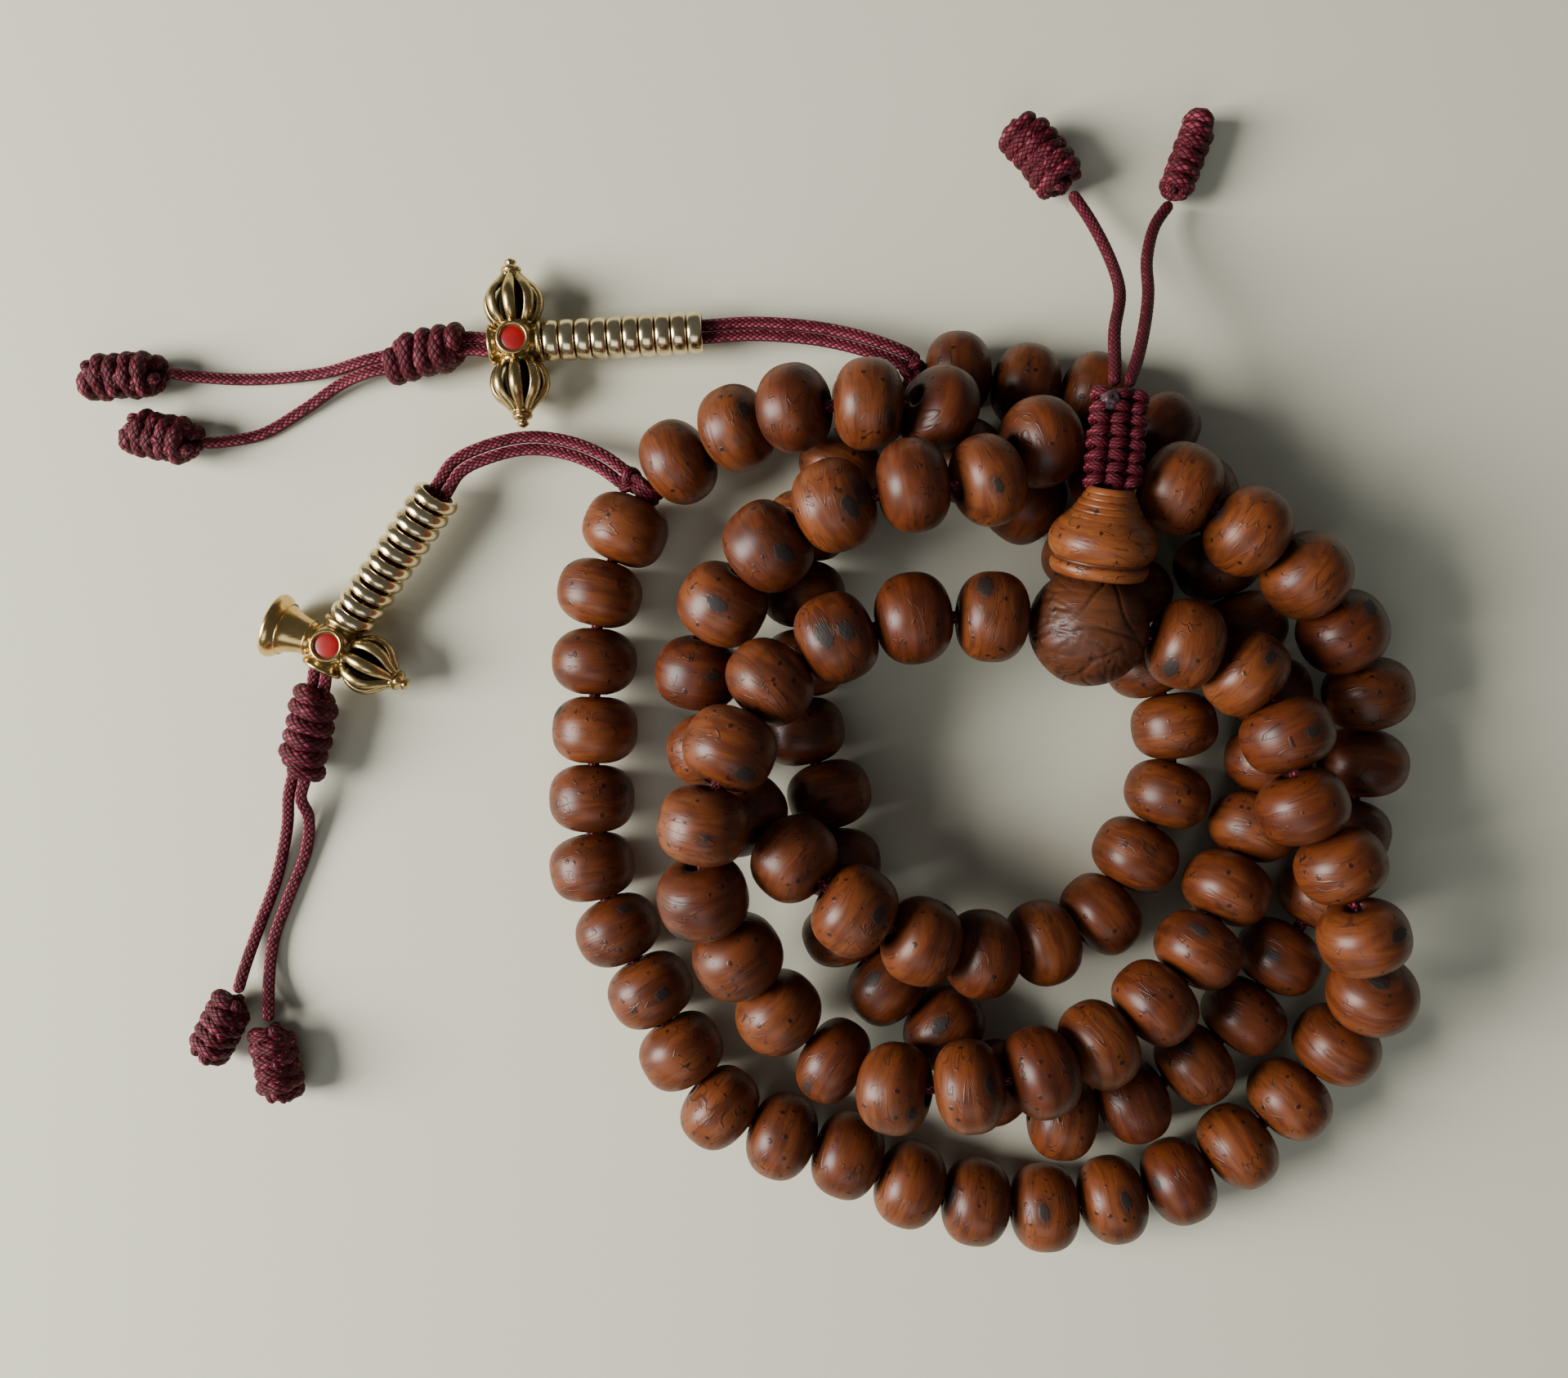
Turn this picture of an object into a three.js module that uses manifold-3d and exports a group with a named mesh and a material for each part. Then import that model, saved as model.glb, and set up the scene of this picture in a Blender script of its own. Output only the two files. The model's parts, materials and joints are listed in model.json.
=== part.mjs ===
// Mala: 108 wooden beads on one cord, a guru bead with its tower and braided knot,
// and two counters, each with ten sliding rings, a charm, a sliding knot and two tails.
// Millimetres, +Z up. The mala lies coiled on a flat surface at z = 0.

import * as THREE from 'three';
import { mergeVertices } from 'three/addons/utils/BufferGeometryUtils.js';
import Module from 'manifold-3d';

const wasm = await Module();
wasm.setup();

// ---------------------------------------------------------------- driving dimensions

const BEAD_RADIUS = 5.1;
const BEAD_HALF = 4.05; // half the length of a bead along its hole
const BEAD_SIDES = 10;
const BELLY_RADIUS = BEAD_RADIUS / Math.cos(Math.PI / BEAD_SIDES); // to a corner of the belly
const BELLY_HALF = 1.45;
const BEAD_FACE_RADIUS = 2.6;
const BEAD_BORE = 1.12;
const FREE_BORE = 1.3; // the hole of a bead that turns
const STRAIGHT = 0.97; // the cosine of the largest bend that such a bead sits at
const BEADS_PER_RUN = 9; // beads joined in one solid, away from the hitches

const GAP = 0.3; // room left between pieces that lie against each other
const CORD_RADIUS = 0.75; // the main cord
const CORD_SIDES = 6;

const STRAND_RADIUS = 0.6; // the braided cord of the counters and of the guru tails
const STRAND_SIDES = 8;
const STRAND_STEP = 3.6; // length of one step of a strand's tube
const STRAND_OFFSET = 0.75; // half the distance between the two strands of a counter
const STRAND_BORE = 1.75; // hole that both strands pass through

const GURU_RADIUS = 6.75;
const GURU_BORE = 2.2;
const TOWER_FOOT = 5.9; // from the middle of the guru bead to the foot of the tower
const TOWER_LENGTH = 9.7;
const TOWER_BORE = 1.8;
const BRAID_LENGTH = 9.4;

const HITCH_HALF = 0.85; // half the width of the hitch that ties a counter to the main cord
const HITCH_RADIUS = 2.35;

const RING_COUNT = 10;
const RING_PITCH = 1.9;
const RING_WIDTH = RING_PITCH - GAP;
const RING_SIDES = 10;

const BARREL_HALF = 3.2; // the charm's barrel, which the strands pass through
const BARREL_RADIUS = 2.4;
const BEZEL_RADIUS = 1.95;
const BEZEL_TOP = 2.75;
const RECESS_RADIUS = 1.65;
const RECESS_DEPTH = 0.5;

const KNOT_SIDES = 8;
const KNOT_GROOVE = 0.35; // depth of the groove between two turns of a coiled knot

// The point of the route's plane that becomes the origin.
const ORIGIN = new THREE.Vector3(5.83, -7.64, 0);

// ---------------------------------------------------------------- places chosen by hand

const UP = new THREE.Vector3(0, 0, 1);
const point = (x, y, z) => new THREE.Vector3(x, y, z);
const points = (list) => list.map(([x, y, z]) => point(x, y, z));
const along = (start, direction, distance) => start.clone().addScaledVector(direction, distance);

const GURU = point(34, 7, 15);
const TOWER_AXIS = point(1.5, 14.8, 4.4).normalize();
const BRAID_AXIS = point(1, 10.2, -0.4).normalize();
const BRAID_BEND = 1.2; // room at the tower's top for the bend between its axis and the braid's
const TOWER_TOP = along(GURU, TOWER_AXIS, TOWER_FOOT + TOWER_LENGTH);
const BRAID_START = along(TOWER_TOP, BRAID_AXIS, BRAID_BEND);
const BELL_HITCH = point(-16.5, 23.5, 5.2);
const DORJE_HITCH = point(15.5, 35.5, 5.2);

// Every second bead: guru bead to bell hitch, bell hitch to dorje hitch, and back to the guru bead.
const GURU_TO_BELL = points([
  [51, 1, 14.5], [58, -12.5, 15], [64, -26, 13.5], [64.5, -42, 6], [53.5, -54, 5.2],
  [38.5, -60.5, 5.2], [22.5, -60.5, 5.2], [7.5, -55.5, 5.2], [-7, -49, 5.2], [-16, -35.5, 5.2],
  [-22, -21, 5.2], [-22.5, -5, 5.2], [-21.5, 11, 5.2],
]);
const BELL_TO_DORJE = points([
  [-6, 30, 8.5], [9.5, 31.5, 15.5], [25, 29, 12], [37, 18, 5.2], [43.5, 3, 5.2],
  [45.5, -12, 5.2], [37.5, -26, 5.2], [23, -30.5, 10], [8, -25, 15], [-4, -15, 10],
  [-11, 1.5, 7.5], [-1.5, 17, 15.5], [14.5, 22.5, 19], [29, 23, 17], [45.5, 20, 15.5],
  [58, 12, 12.5], [66.5, -0.5, 7], [66.5, -17, 5.2], [60, -32, 5.2], [49, -44.5, 5.2],
  [33.5, -51, 5.2], [17.5, -40.5, 5.2], [7.5, -28, 5.2], [3.5, -12.5, 5.2], [2.5, 2.5, 5.2],
  [3, 19.5, 5.2], [10, 33, 5.2],
]);
const DORJE_TO_GURU = points([
  [28.5, 36, 5.2], [43.5, 29.5, 5.2], [51, 15, 5.2], [59.5, 0, 5.2], [55, -16.5, 5.2],
  [47.5, -30.5, 9], [36, -40, 12], [21.5, -44, 15], [6, -43, 8], [-5, -31, 12],
  [-8.5, -14.5, 18.5], [-1.5, 1.5, 15], [14.5, 8, 15.5],
]);

// Each counter: its charm, the line that its rings slide on, and the routes of its strands.
const COUNTERS = [
  {
    name: 'dorje',
    hitch: DORJE_HITCH,
    charm: point(-32, 41.4, 3.75),
    ringAxis: point(1, 0.06, 0).normalize(),
    barrelAxis: point(1, 0.08, 0).normalize(),
    ringRadius: 2.45,
    ringBore: 1.75,
    hasBell: false,
    travel: 6,
    fromHitch: points([
      [15.1, 38.7, 5.5], [13.2, 39.5, 5.8], [10.6, 40.5, 5.6], [7.2, 41.6, 5], [3.2, 42.5, 4.3],
    ]),
    slideKnot: points([[-38, 41.4, 3.5], [-48, 39.2, 3.2]]),
    knotRadius: 2.95,
    tails: [
      points([[-55.5, 38.4, 1.5], [-61, 37.9, 0.75], [-66, 37.7, 0.75], [-71, 37.8, 1.8], [-74.1, 38, 3]]),
      points([[-53.6, 37, 1.6], [-58.5, 34, 0.75], [-63.7, 31, 0.75], [-67.8, 29.9, 1.9], [-70, 29.5, 3]]),
    ],
    endKnots: [
      { start: point(-74.4, 38, 3), end: point(-84.6, 37.3, 3), radius: 2.95 },
      { start: point(-70.3, 29.4, 3.1), end: point(-79.2, 31.2, 3.1), radius: 3.05 },
    ],
  },
  {
    name: 'bell',
    hitch: BELL_HITCH,
    charm: point(-53.8, 5.1, 4.1),
    ringAxis: point(0.567, 0.824, 0).normalize(),
    barrelAxis: point(0.469, 0.883, 0).normalize(),
    ringRadius: 2.8,
    ringBore: 1.9,
    hasBell: true,
    travel: 3.5,
    fromHitch: points([
      [-19.2, 25.3, 4.9], [-21.9, 27.2, 4.6], [-25.8, 28.8, 4.1], [-30.5, 29.4, 3.9], [-35.2, 28.4, 4.1],
    ]),
    slideKnot: points([[-55.7, 0.4, 3.8], [-58.3, -10.8, 3.2]]),
    knotRadius: 2.95,
    tails: [
      points([
        [-60.3, -16.6, 1.4], [-61.8, -23, 0.75], [-63.8, -28.5, 0.75], [-65.2, -33.3, 1.7],
        [-65.8, -36.6, 2.9],
      ]),
      points([[-57.6, -15.5, 1.8], [-58.2, -19.6, 0.8], [-60.4, -25.4, 0.75], [-62.2, -30.6, 0.75],
        [-62.6, -35.4, 1.2], [-62, -40, 3]]),
    ],
    endKnots: [
      { start: point(-65.9, -36.9, 2.9), end: point(-69.8, -44.8, 2.9), radius: 2.8 },
      { start: point(-61.9, -40.3, 3), end: point(-60.1, -49.7, 3), radius: 2.9 },
    ],
  },
];

const GURU_TAILS = [
  {
    route: points([
      [36.3, 35.2, 17.6], [37, 40, 14.5], [38.6, 45.6, 10.3], [38.3, 51, 6.3], [36.5, 56.2, 4], [34.4, 59.5, 3.6],
    ]),
    knot: { start: point(34.1, 59.9, 3.5), end: point(27.5, 68.1, 3.4), radius: 3.3 },
  },
  {
    route: points([
      [38.6, 35.5, 17.4], [40.2, 39.8, 14.6], [41.8, 45.3, 10.6], [42.6, 50.5, 7], [44.4, 55.5, 4],
      [46.5, 58.5, 2.7],
    ]),
    knot: { start: point(46.7, 58.9, 2.5), end: point(50.8, 69.8, 2.4), radius: 2.3 },
  },
];

// ---------------------------------------------------------------- settling the beads

const SETTLE_STEPS = 500;
const HOME_PULL = 0.03;
const LINK_SLACK = 0.75; // most that two neighbours on the cord stand apart
const LINK_CLEAR = 0.06;
const STACK_CLEAR = 0.25; // room between pieces of different turns of the coil
const BELLY_REACH = 5.25; // between the middle of a belly's flat and its corner

// What the beads stay clear of: spheres along the tower and the braid, each with its radius.
const OBSTACLES = [
  [along(GURU, TOWER_AXIS, 8.5), 5.9],
  [along(GURU, TOWER_AXIS, 11.2), 5.1],
  [along(GURU, TOWER_AXIS, 13.8), 3.4],
  [along(BRAID_START, BRAID_AXIS, 1.5), 3.2],
  [along(BRAID_START, BRAID_AXIS, 5), 3.2],
  [along(BRAID_START, BRAID_AXIS, 8.5), 3.2],
];

// A station is the guru bead, a bead or a hitch, in the order in which the cord passes them.
const station = (kind, centre, reach, radius) => ({
  kind,
  reach,
  radius,
  centre: centre.clone(),
  home: centre.clone(),
  fixed: kind === 'guru',
});
const beadStation = (centre) => station('bead', centre, BEAD_HALF, BEAD_RADIUS);

// The known places with one more between each pair, on a smooth curve through them.
function withMiddles(known) {
  const result = [];
  for (let i = 1; i < known.length; i += 1) {
    const before = known[Math.max(0, i - 2)];
    const after = known[Math.min(known.length - 1, i + 1)];
    const middle = known[i - 1].clone().add(known[i]).multiplyScalar(9);
    middle.sub(before).sub(after).multiplyScalar(1 / 16);
    result.push(middle, known[i].clone());
  }
  return result;
}

function makeStations() {
  return [
    station('guru', GURU, GURU_RADIUS, GURU_RADIUS),
    ...withMiddles([GURU, ...GURU_TO_BELL, BELL_HITCH]).slice(0, -1).map(beadStation),
    station('hitch', BELL_HITCH, HITCH_HALF + GAP, HITCH_RADIUS),
    ...withMiddles([BELL_HITCH, ...BELL_TO_DORJE]).map(beadStation),
    station('hitch', DORJE_HITCH, HITCH_HALF + GAP, HITCH_RADIUS),
    ...withMiddles([DORJE_HITCH, ...DORJE_TO_GURU, GURU]).slice(0, -1).map(beadStation),
  ];
}

const stations = makeStations();
const neighbour = (index, step) => stations[(index + step + stations.length) % stations.length];
const directionAt = (index) =>
  neighbour(index, 1).centre.clone().sub(neighbour(index, -1).centre).normalize();

// Moves two stations along the line between them until their distance is within the limits.
function keepDistance(a, b, least, most) {
  const between = b.centre.clone().sub(a.centre);
  const distance = Math.sqrt(between.x * between.x + between.y * between.y + between.z * between.z);
  const wanted = Math.min(Math.max(distance, least), most);
  const share = a.fixed || b.fixed ? 1 : 0.5;
  between.multiplyScalar((share * (wanted - distance)) / distance);
  if (!a.fixed) a.centre.sub(between);
  if (!b.fixed) b.centre.add(between);
}

// How far a station reaches from its centre towards another one: a bead's belly or its end face.
function reachTowards(item, index, other) {
  if (item.kind !== 'bead') return item.radius;
  const axis = directionAt(index);
  const way = other.centre.clone().sub(item.centre).normalize();
  const axial = Math.abs(way.dot(axis));
  const across = Math.sqrt(Math.max(0, 1 - axial * axial));
  const belly = BELLY_REACH * across + BELLY_HALF * axial;
  const face = BEAD_FACE_RADIUS * across + (BEAD_HALF + GAP) * axial;
  return Math.max(belly, face);
}

// The height at which a bead's lowest corner touches the surface.
function lowest(item, index) {
  if (item.kind !== 'bead') return item.radius;
  const tilt = Math.abs(directionAt(index).z);
  return BEAD_RADIUS * Math.sqrt(1 - tilt * tilt) + BELLY_HALF * tilt;
}

const NEAR = 11.5; // only stations nearer than this can touch

function separate(i, j) {
  const [a, b] = [stations[i], stations[j]];
  if (a.centre.distanceToSquared(b.centre) > NEAR * NEAR && !a.fixed) return;
  keepDistance(a, b, reachTowards(a, i, b) + reachTowards(b, j, a) + STACK_CLEAR, Infinity);
}

function settle() {
  const count = stations.length;
  const posts = OBSTACLES.map(([centre, radius]) => ({ centre, radius, kind: 'post', fixed: true }));
  for (let step = 0; step < SETTLE_STEPS; step += 1) {
    for (const item of stations) {
      if (!item.fixed) {
        item.centre.x += (item.home.x - item.centre.x) * HOME_PULL;
        item.centre.y += (item.home.y - item.centre.y) * HOME_PULL;
        item.centre.z += (item.home.z - item.centre.z) * HOME_PULL;
      }
    }
    for (let i = 0; i < count; i += 1) {
      const next = stations[(i + 1) % count];
      const reach = stations[i].reach + next.reach;
      keepDistance(stations[i], next, reach + LINK_CLEAR, reach + LINK_SLACK);
    }
    for (let i = 0; i < count; i += 1) {
      for (let j = i + 2; j < count; j += 1) {
        if (i > 0 || j < count - 1) {
          separate(i, j);
        }
      }
      for (const post of posts) {
        if (!stations[i].fixed) {
          const least = reachTowards(stations[i], i, post) + post.radius + STACK_CLEAR;
          keepDistance(stations[i], post, least, Infinity);
        }
      }
    }
    stations.forEach((item, i) => {
      item.centre.z = Math.max(item.centre.z, lowest(item, i));
    });
  }
}

settle();

// Where station `index` meets the next one: the place and direction of the cord between them.
function faceAfter(index) {
  const from = neighbour(index, 0);
  const to = neighbour(index, 1);
  const direction = to.centre.clone().sub(from.centre);
  const place = along(from.centre, direction, from.reach / (from.reach + to.reach));
  return { place, direction: direction.normalize() };
}

// ---------------------------------------------------------------- solids

// Keeps only the position, joins the shared vertices and turns the faces outwards.
function closed(geometry) {
  const bare = new THREE.BufferGeometry().setAttribute('position', geometry.getAttribute('position'));
  if (geometry.index) bare.setIndex(geometry.index);
  const merged = mergeVertices(bare, 1e-3);
  const index = merged.index.array;
  const kept = [];
  let volume = 0;
  const [a, b, c] = [new THREE.Vector3(), new THREE.Vector3(), new THREE.Vector3()];
  for (let i = 0; i < index.length; i += 3) {
    const [p, q, r] = [index[i], index[i + 1], index[i + 2]];
    if (p !== q && q !== r && r !== p) {
      kept.push(p, q, r);
      a.fromBufferAttribute(merged.attributes.position, p);
      b.fromBufferAttribute(merged.attributes.position, q);
      c.fromBufferAttribute(merged.attributes.position, r);
      volume += a.dot(b.cross(c));
    }
  }
  merged.setIndex(volume < 0 ? kept.reverse() : kept);
  return merged;
}

function solidOf(geometry) {
  const body = closed(geometry);
  return new wasm.Manifold(new wasm.Mesh({
    numProp: 3,
    vertProperties: new Float32Array(body.attributes.position.array),
    triVerts: new Uint32Array(body.index.array),
  }));
}

function geometryOf(solid) {
  const mesh = solid.getMesh();
  const geometry = new THREE.BufferGeometry();
  geometry.setAttribute('position', new THREE.BufferAttribute(mesh.vertProperties, 3));
  geometry.setIndex(new THREE.BufferAttribute(mesh.triVerts, 1));
  return geometry;
}

// The axes of a turned piece: Y along its direction, X level, and so a flat below where it can be.
function axesAlong(direction) {
  const side = UP.clone().cross(direction).normalize();
  return { side, direction, down: side.clone().cross(direction) };
}

function matrixAlong(place, direction) {
  const { side, down } = axesAlong(direction);
  return new THREE.Matrix4().makeBasis(side, direction, down).setPosition(place);
}

// A profile of [radius, height] pairs turned about Y, with a flat, not a corner, towards +Z.
function turned(profile, sides) {
  const outline = profile.map(([radius, height]) => new THREE.Vector2(radius, height));
  return closed(new THREE.LatheGeometry(outline, sides, Math.PI / sides));
}

function pierced(profile, bore, sides) {
  const [first, last] = [profile[0], profile[profile.length - 1]];
  return turned([...profile, [bore, last[1]], [bore, first[1]], first], sides);
}

// A coiled knot from height 0: one bulge for each turn of the cord, with round shoulders.
function coilProfile(length, radius, turns) {
  const profile = [[radius * 0.72, 0]];
  for (let i = 0; i < turns; i += 1) {
    const start = (i * length) / turns;
    const width = length / turns;
    if (i > 0) profile.push([radius - KNOT_GROOVE, start]);
    profile.push([radius, start + 0.5 * width]);
  }
  profile.push([radius * 0.72, length]);
  return profile;
}

// A path that an extrusion follows through its points, one step for each.
class Stations extends THREE.Curve {
  constructor(list) {
    super();
    this.list = list;
  }

  getPoint(t) {
    const position = t * (this.list.length - 1);
    const i = Math.min(Math.floor(position), this.list.length - 2);
    return this.list[i].clone().lerp(this.list[i + 1], position - i);
  }

  getPointAt(t) {
    return this.getPoint(t);
  }

  getTangentAt(t) {
    const last = this.list.length - 1;
    const i = Math.round(t * last);
    return this.list[Math.min(i + 1, last)].clone().sub(this.list[Math.max(i - 1, 0)]).normalize();
  }
}

function tube(list, radius, sides) {
  const section = new THREE.Shape();
  for (let i = 0; i < sides; i += 1) {
    const angle = (2 * Math.PI * (i + 0.5)) / sides;
    const [x, y] = [radius * Math.cos(angle), radius * Math.sin(angle)];
    if (i === 0) section.moveTo(x, y);
    else section.lineTo(x, y);
  }
  section.closePath();
  const options = { steps: list.length - 1, bevelEnabled: false, extrudePath: new Stations(list) };
  return closed(new THREE.ExtrudeGeometry(section, options));
}

// ---------------------------------------------------------------- materials and nodes

const mala = new THREE.Group();

const finish = (color, roughness, metalness) =>
  new THREE.MeshStandardMaterial({ color, roughness, metalness });
const wood = () => finish(0x9a5a2c, 0.4, 0);
const maroonCord = () => finish(0x7a1230, 0.8, 0);
const paleBrass = () => finish(0xc9bd98, 0.25, 1);
const oldGold = () => finish(0xa08448, 0.35, 1);
const redEnamel = () => finish(0xa80a0a, 0.15, 0);

function add(name, geometry, material) {
  const mesh = new THREE.Mesh(geometry, material);
  mesh.name = name;
  mala.add(mesh);
  return mesh;
}

// A turned piece whose height 0 is at `place` and whose axis is `direction`.
function addAlong(name, geometry, material, place, direction) {
  add(name, geometry, material).applyMatrix4(matrixAlong(place, direction));
}

// ---------------------------------------------------------------- beads

// A straight stack of beads, one unit of height each, then bent so that each ring of its vertices
// lies square to the cord: a quarter and three quarters up a unit are the two edges of a belly.
// A bead on its own where the cord is nearly straight turns about its hole: it isn't bent, and it
// has a little more room at its faces and around the cord.
function beadRun(first, last) {
  const count = last - first + 1;
  const free = count === 1 && faceAfter(first - 1).direction.dot(faceAfter(first).direction) > STRAIGHT;
  const profile = [];
  for (let i = 0; i < count; i += 1) {
    profile.push([BEAD_FACE_RADIUS, i], [BELLY_RADIUS, i + 0.25], [BELLY_RADIUS, i + 0.75]);
  }
  profile.push([BEAD_FACE_RADIUS, count]);
  for (let i = count; i >= 0; i -= 1) profile.push([free ? FREE_BORE : BEAD_BORE, i]);
  profile.push(profile[0]);

  const geometry = turned(profile, BEAD_SIDES);
  const position = geometry.attributes.position;
  const ringAt = (height) => {
    const bead = first + Math.floor(height);
    const part = height - Math.floor(height);
    if (part > 0) {
      const direction = directionAt(bead);
      const offset = part < 0.5 ? -BELLY_HALF : BELLY_HALF;
      return { place: along(neighbour(bead, 0).centre, direction, offset), direction };
    }
    if (free) {
      const direction = directionAt(first);
      const offset = (2 * height - 1) * (BEAD_HALF - GAP);
      return { place: along(neighbour(first, 0).centre, direction, offset), direction };
    }
    const face = faceAfter(bead - 1);
    if (height === 0) face.place.addScaledVector(face.direction, GAP / 2);
    if (height === count) face.place.addScaledVector(face.direction, -GAP / 2);
    return face;
  };
  for (let i = 0; i < position.count; i += 1) {
    const ring = ringAt(position.getY(i));
    const { side, down } = axesAlong(ring.direction);
    const moved = along(ring.place, side, position.getX(i)).addScaledVector(down, position.getZ(i));
    position.setXYZ(i, moved.x, moved.y, moved.z);
  }
  return geometry;
}

const three = (number) => String(number).padStart(3, '0');

// Beads are counted from the guru bead. Those on both sides of a hitch are single.
const beadIndexes = [];
stations.forEach((item, index) => {
  if (item.kind === 'bead') beadIndexes.push(index);
});
const isSingle = (index) =>
  neighbour(index, 1).kind === 'hitch' || neighbour(index, -1).kind === 'hitch';

function addBeads() {
  let start = 0;
  while (start < beadIndexes.length) {
    let end = start;
    if (!isSingle(beadIndexes[start])) {
      const joins = (next) =>
        next < beadIndexes.length
        && !isSingle(beadIndexes[next])
        && beadIndexes[next] === beadIndexes[next - 1] + 1;
      while (end - start + 1 < BEADS_PER_RUN && joins(end + 1)) end += 1;
    }
    const name = start === end ? `bead_${three(start + 1)}` : `beads_${three(start + 1)}_${three(end + 1)}`;
    add(name, beadRun(beadIndexes[start], beadIndexes[end]), wood());
    start = end + 1;
  }
}
addBeads();

// ---------------------------------------------------------------- guru bead, tower and main cord

const toFirst = neighbour(0, 1).centre.clone().sub(GURU).normalize();
const toLast = neighbour(0, -1).centre.clone().sub(GURU).normalize();

function addGuru() {
  let body = solidOf(new THREE.SphereGeometry(GURU_RADIUS, 14, 10).translate(GURU.x, GURU.y, GURU.z));
  for (const direction of [toFirst, toLast, TOWER_AXIS]) {
    const drill = new THREE.CylinderGeometry(GURU_BORE, GURU_BORE, 9, 10);
    const middle = along(GURU, direction, 4);
    body = body.subtract(solidOf(drill.applyMatrix4(matrixAlong(middle, direction))));
  }
  add('guru_bead', geometryOf(body), wood());

  const foot = [[3.9, 1.05], [3.9, 0], [5.1, 0]];
  const lip = [[5.4, 0.7], [5.1, 1.5], [5.1, 1.9]];
  const bowl = [[5.8, 2.4], [5.95, 3.6], [5.6, 4.9], [4.7, 6.2]];
  const neck = [[3.5, 7.3], [3.1, 8], [2.7, 8.4], [2.5, TOWER_LENGTH]];
  const bore = [[TOWER_BORE, TOWER_LENGTH], [TOWER_BORE, 1.05], foot[0]];
  const tower = turned([...foot, ...lip, ...bowl, ...neck, ...bore], 12);
  addAlong('guru_tower', tower, wood(), along(GURU, TOWER_AXIS, TOWER_FOOT), TOWER_AXIS);
}
addGuru();

function mainCordRoute() {
  const side = toFirst.clone().sub(toLast);
  side.addScaledVector(TOWER_AXIS, -side.dot(TOWER_AXIS)).normalize();
  const inTower = (height, offset) => along(along(GURU, TOWER_AXIS, height), side, offset);
  const top = TOWER_FOOT + TOWER_LENGTH - GAP;
  const route = [inTower(top, 0.85), inTower(4, 0.85), inTower(2, 1), inTower(0.7, 1.9)];
  route.push(along(GURU, toFirst, 3.6));
  for (let i = 0; i < stations.length; i += 1) {
    route.push(faceAfter(i).place);
  }
  route.push(along(GURU, toLast, 3.6));
  route.push(inTower(0.7, -1.9), inTower(2, -1), inTower(4, -0.85), inTower(top, -0.85));
  return route;
}
add('main_cord', tube(mainCordRoute(), CORD_RADIUS * 0.95, CORD_SIDES), maroonCord());

// ---------------------------------------------------------------- guru knot and its tails

function coiledKnot(name, { start, end, radius }, turns) {
  const direction = end.clone().sub(start).normalize();
  const profile = [[0, 0], ...coilProfile(start.distanceTo(end), radius, turns), [0, start.distanceTo(end)]];
  addAlong(name, turned(profile, KNOT_SIDES), maroonCord(), start, direction);
}

function strandTube(name, list, radius = STRAND_RADIUS) {
  const curve = new THREE.CatmullRomCurve3(list);
  const steps = Math.round(curve.getLength() / STRAND_STEP);
  add(name, tube(curve.getSpacedPoints(steps), radius, STRAND_SIDES), maroonCord());
}

function addGuruKnot() {
  const section = new THREE.Shape();
  section.moveTo(-3, -1.4);
  for (const x of [-2, 0, 2]) section.quadraticCurveTo(x, -3, x + 1, -1.4);
  section.lineTo(3, 1.4);
  for (const x of [2, 0, -2]) section.quadraticCurveTo(x, 3, x - 1, 1.4);
  section.closePath();
  const depth = BRAID_LENGTH;
  const block = new THREE.ExtrudeGeometry(section, { depth, bevelEnabled: false, curveSegments: 3 });
  block.rotateX(-Math.PI / 2);
  addAlong('guru_braid', closed(block), maroonCord(), BRAID_START, BRAID_AXIS);

  const end = along(BRAID_START, BRAID_AXIS, BRAID_LENGTH + 2 * GAP);
  const { side } = axesAlong(BRAID_AXIS);
  GURU_TAILS.forEach(({ route, knot }, i) => {
    const letter = 'ab'[i];
    const from = along(end, side, i === 0 ? STRAND_OFFSET : -STRAND_OFFSET);
    strandTube(`guru_tail_${letter}`, [from, ...route]);
    coiledKnot(`guru_tail_knot_${letter}`, knot, 6);
  });
}
addGuruKnot();

// ---------------------------------------------------------------- counters

function addHitch(counter) {
  const index = stations.findIndex((item) => item.kind === 'hitch' && item.home.equals(counter.hitch));
  const half = HITCH_HALF;
  const edge = HITCH_RADIUS - 0.75;
  const profile = [[edge, -half], [HITCH_RADIUS, -half / 2], [HITCH_RADIUS, half / 2], [edge, half]];
  const wraps = pierced(profile, BEAD_BORE, KNOT_SIDES);
  const [before, after] = [faceAfter(index - 1).place, faceAfter(index).place];
  const middle = before.clone().lerp(after, 0.5);
  addAlong(`${counter.name}_hitch`, wraps, maroonCord(), middle, after.sub(before).normalize());
}

const charmPlace = ({ charm, barrelAxis }) =>
  new THREE.Matrix4()
    .makeBasis(barrelAxis, UP.clone().cross(barrelAxis), UP)
    .setPosition(charm);

// Half a dorje along +Y: a ribbed lobe that closes on a small pointed finial.
const LOBE = [
  [0, 1.2], [1.6, 1.2], [2.8, 2.8], [3.6, 4.5], [3.2, 6.2], [1.15, 8], [1.35, 8.5], [0.3, 10.2], [0, 10.2],
];
// A hollow bell along +Y, its mouth outwards.
const BELL = [
  [0, 1.2], [1.9, 1.2], [2.05, 3], [2.65, 5.4], [3.8, 7], [3.8, 7.6], [3.25, 7.5], [2.05, 5.2],
  [1.7, 4.2], [0, 3.8],
];

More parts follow.
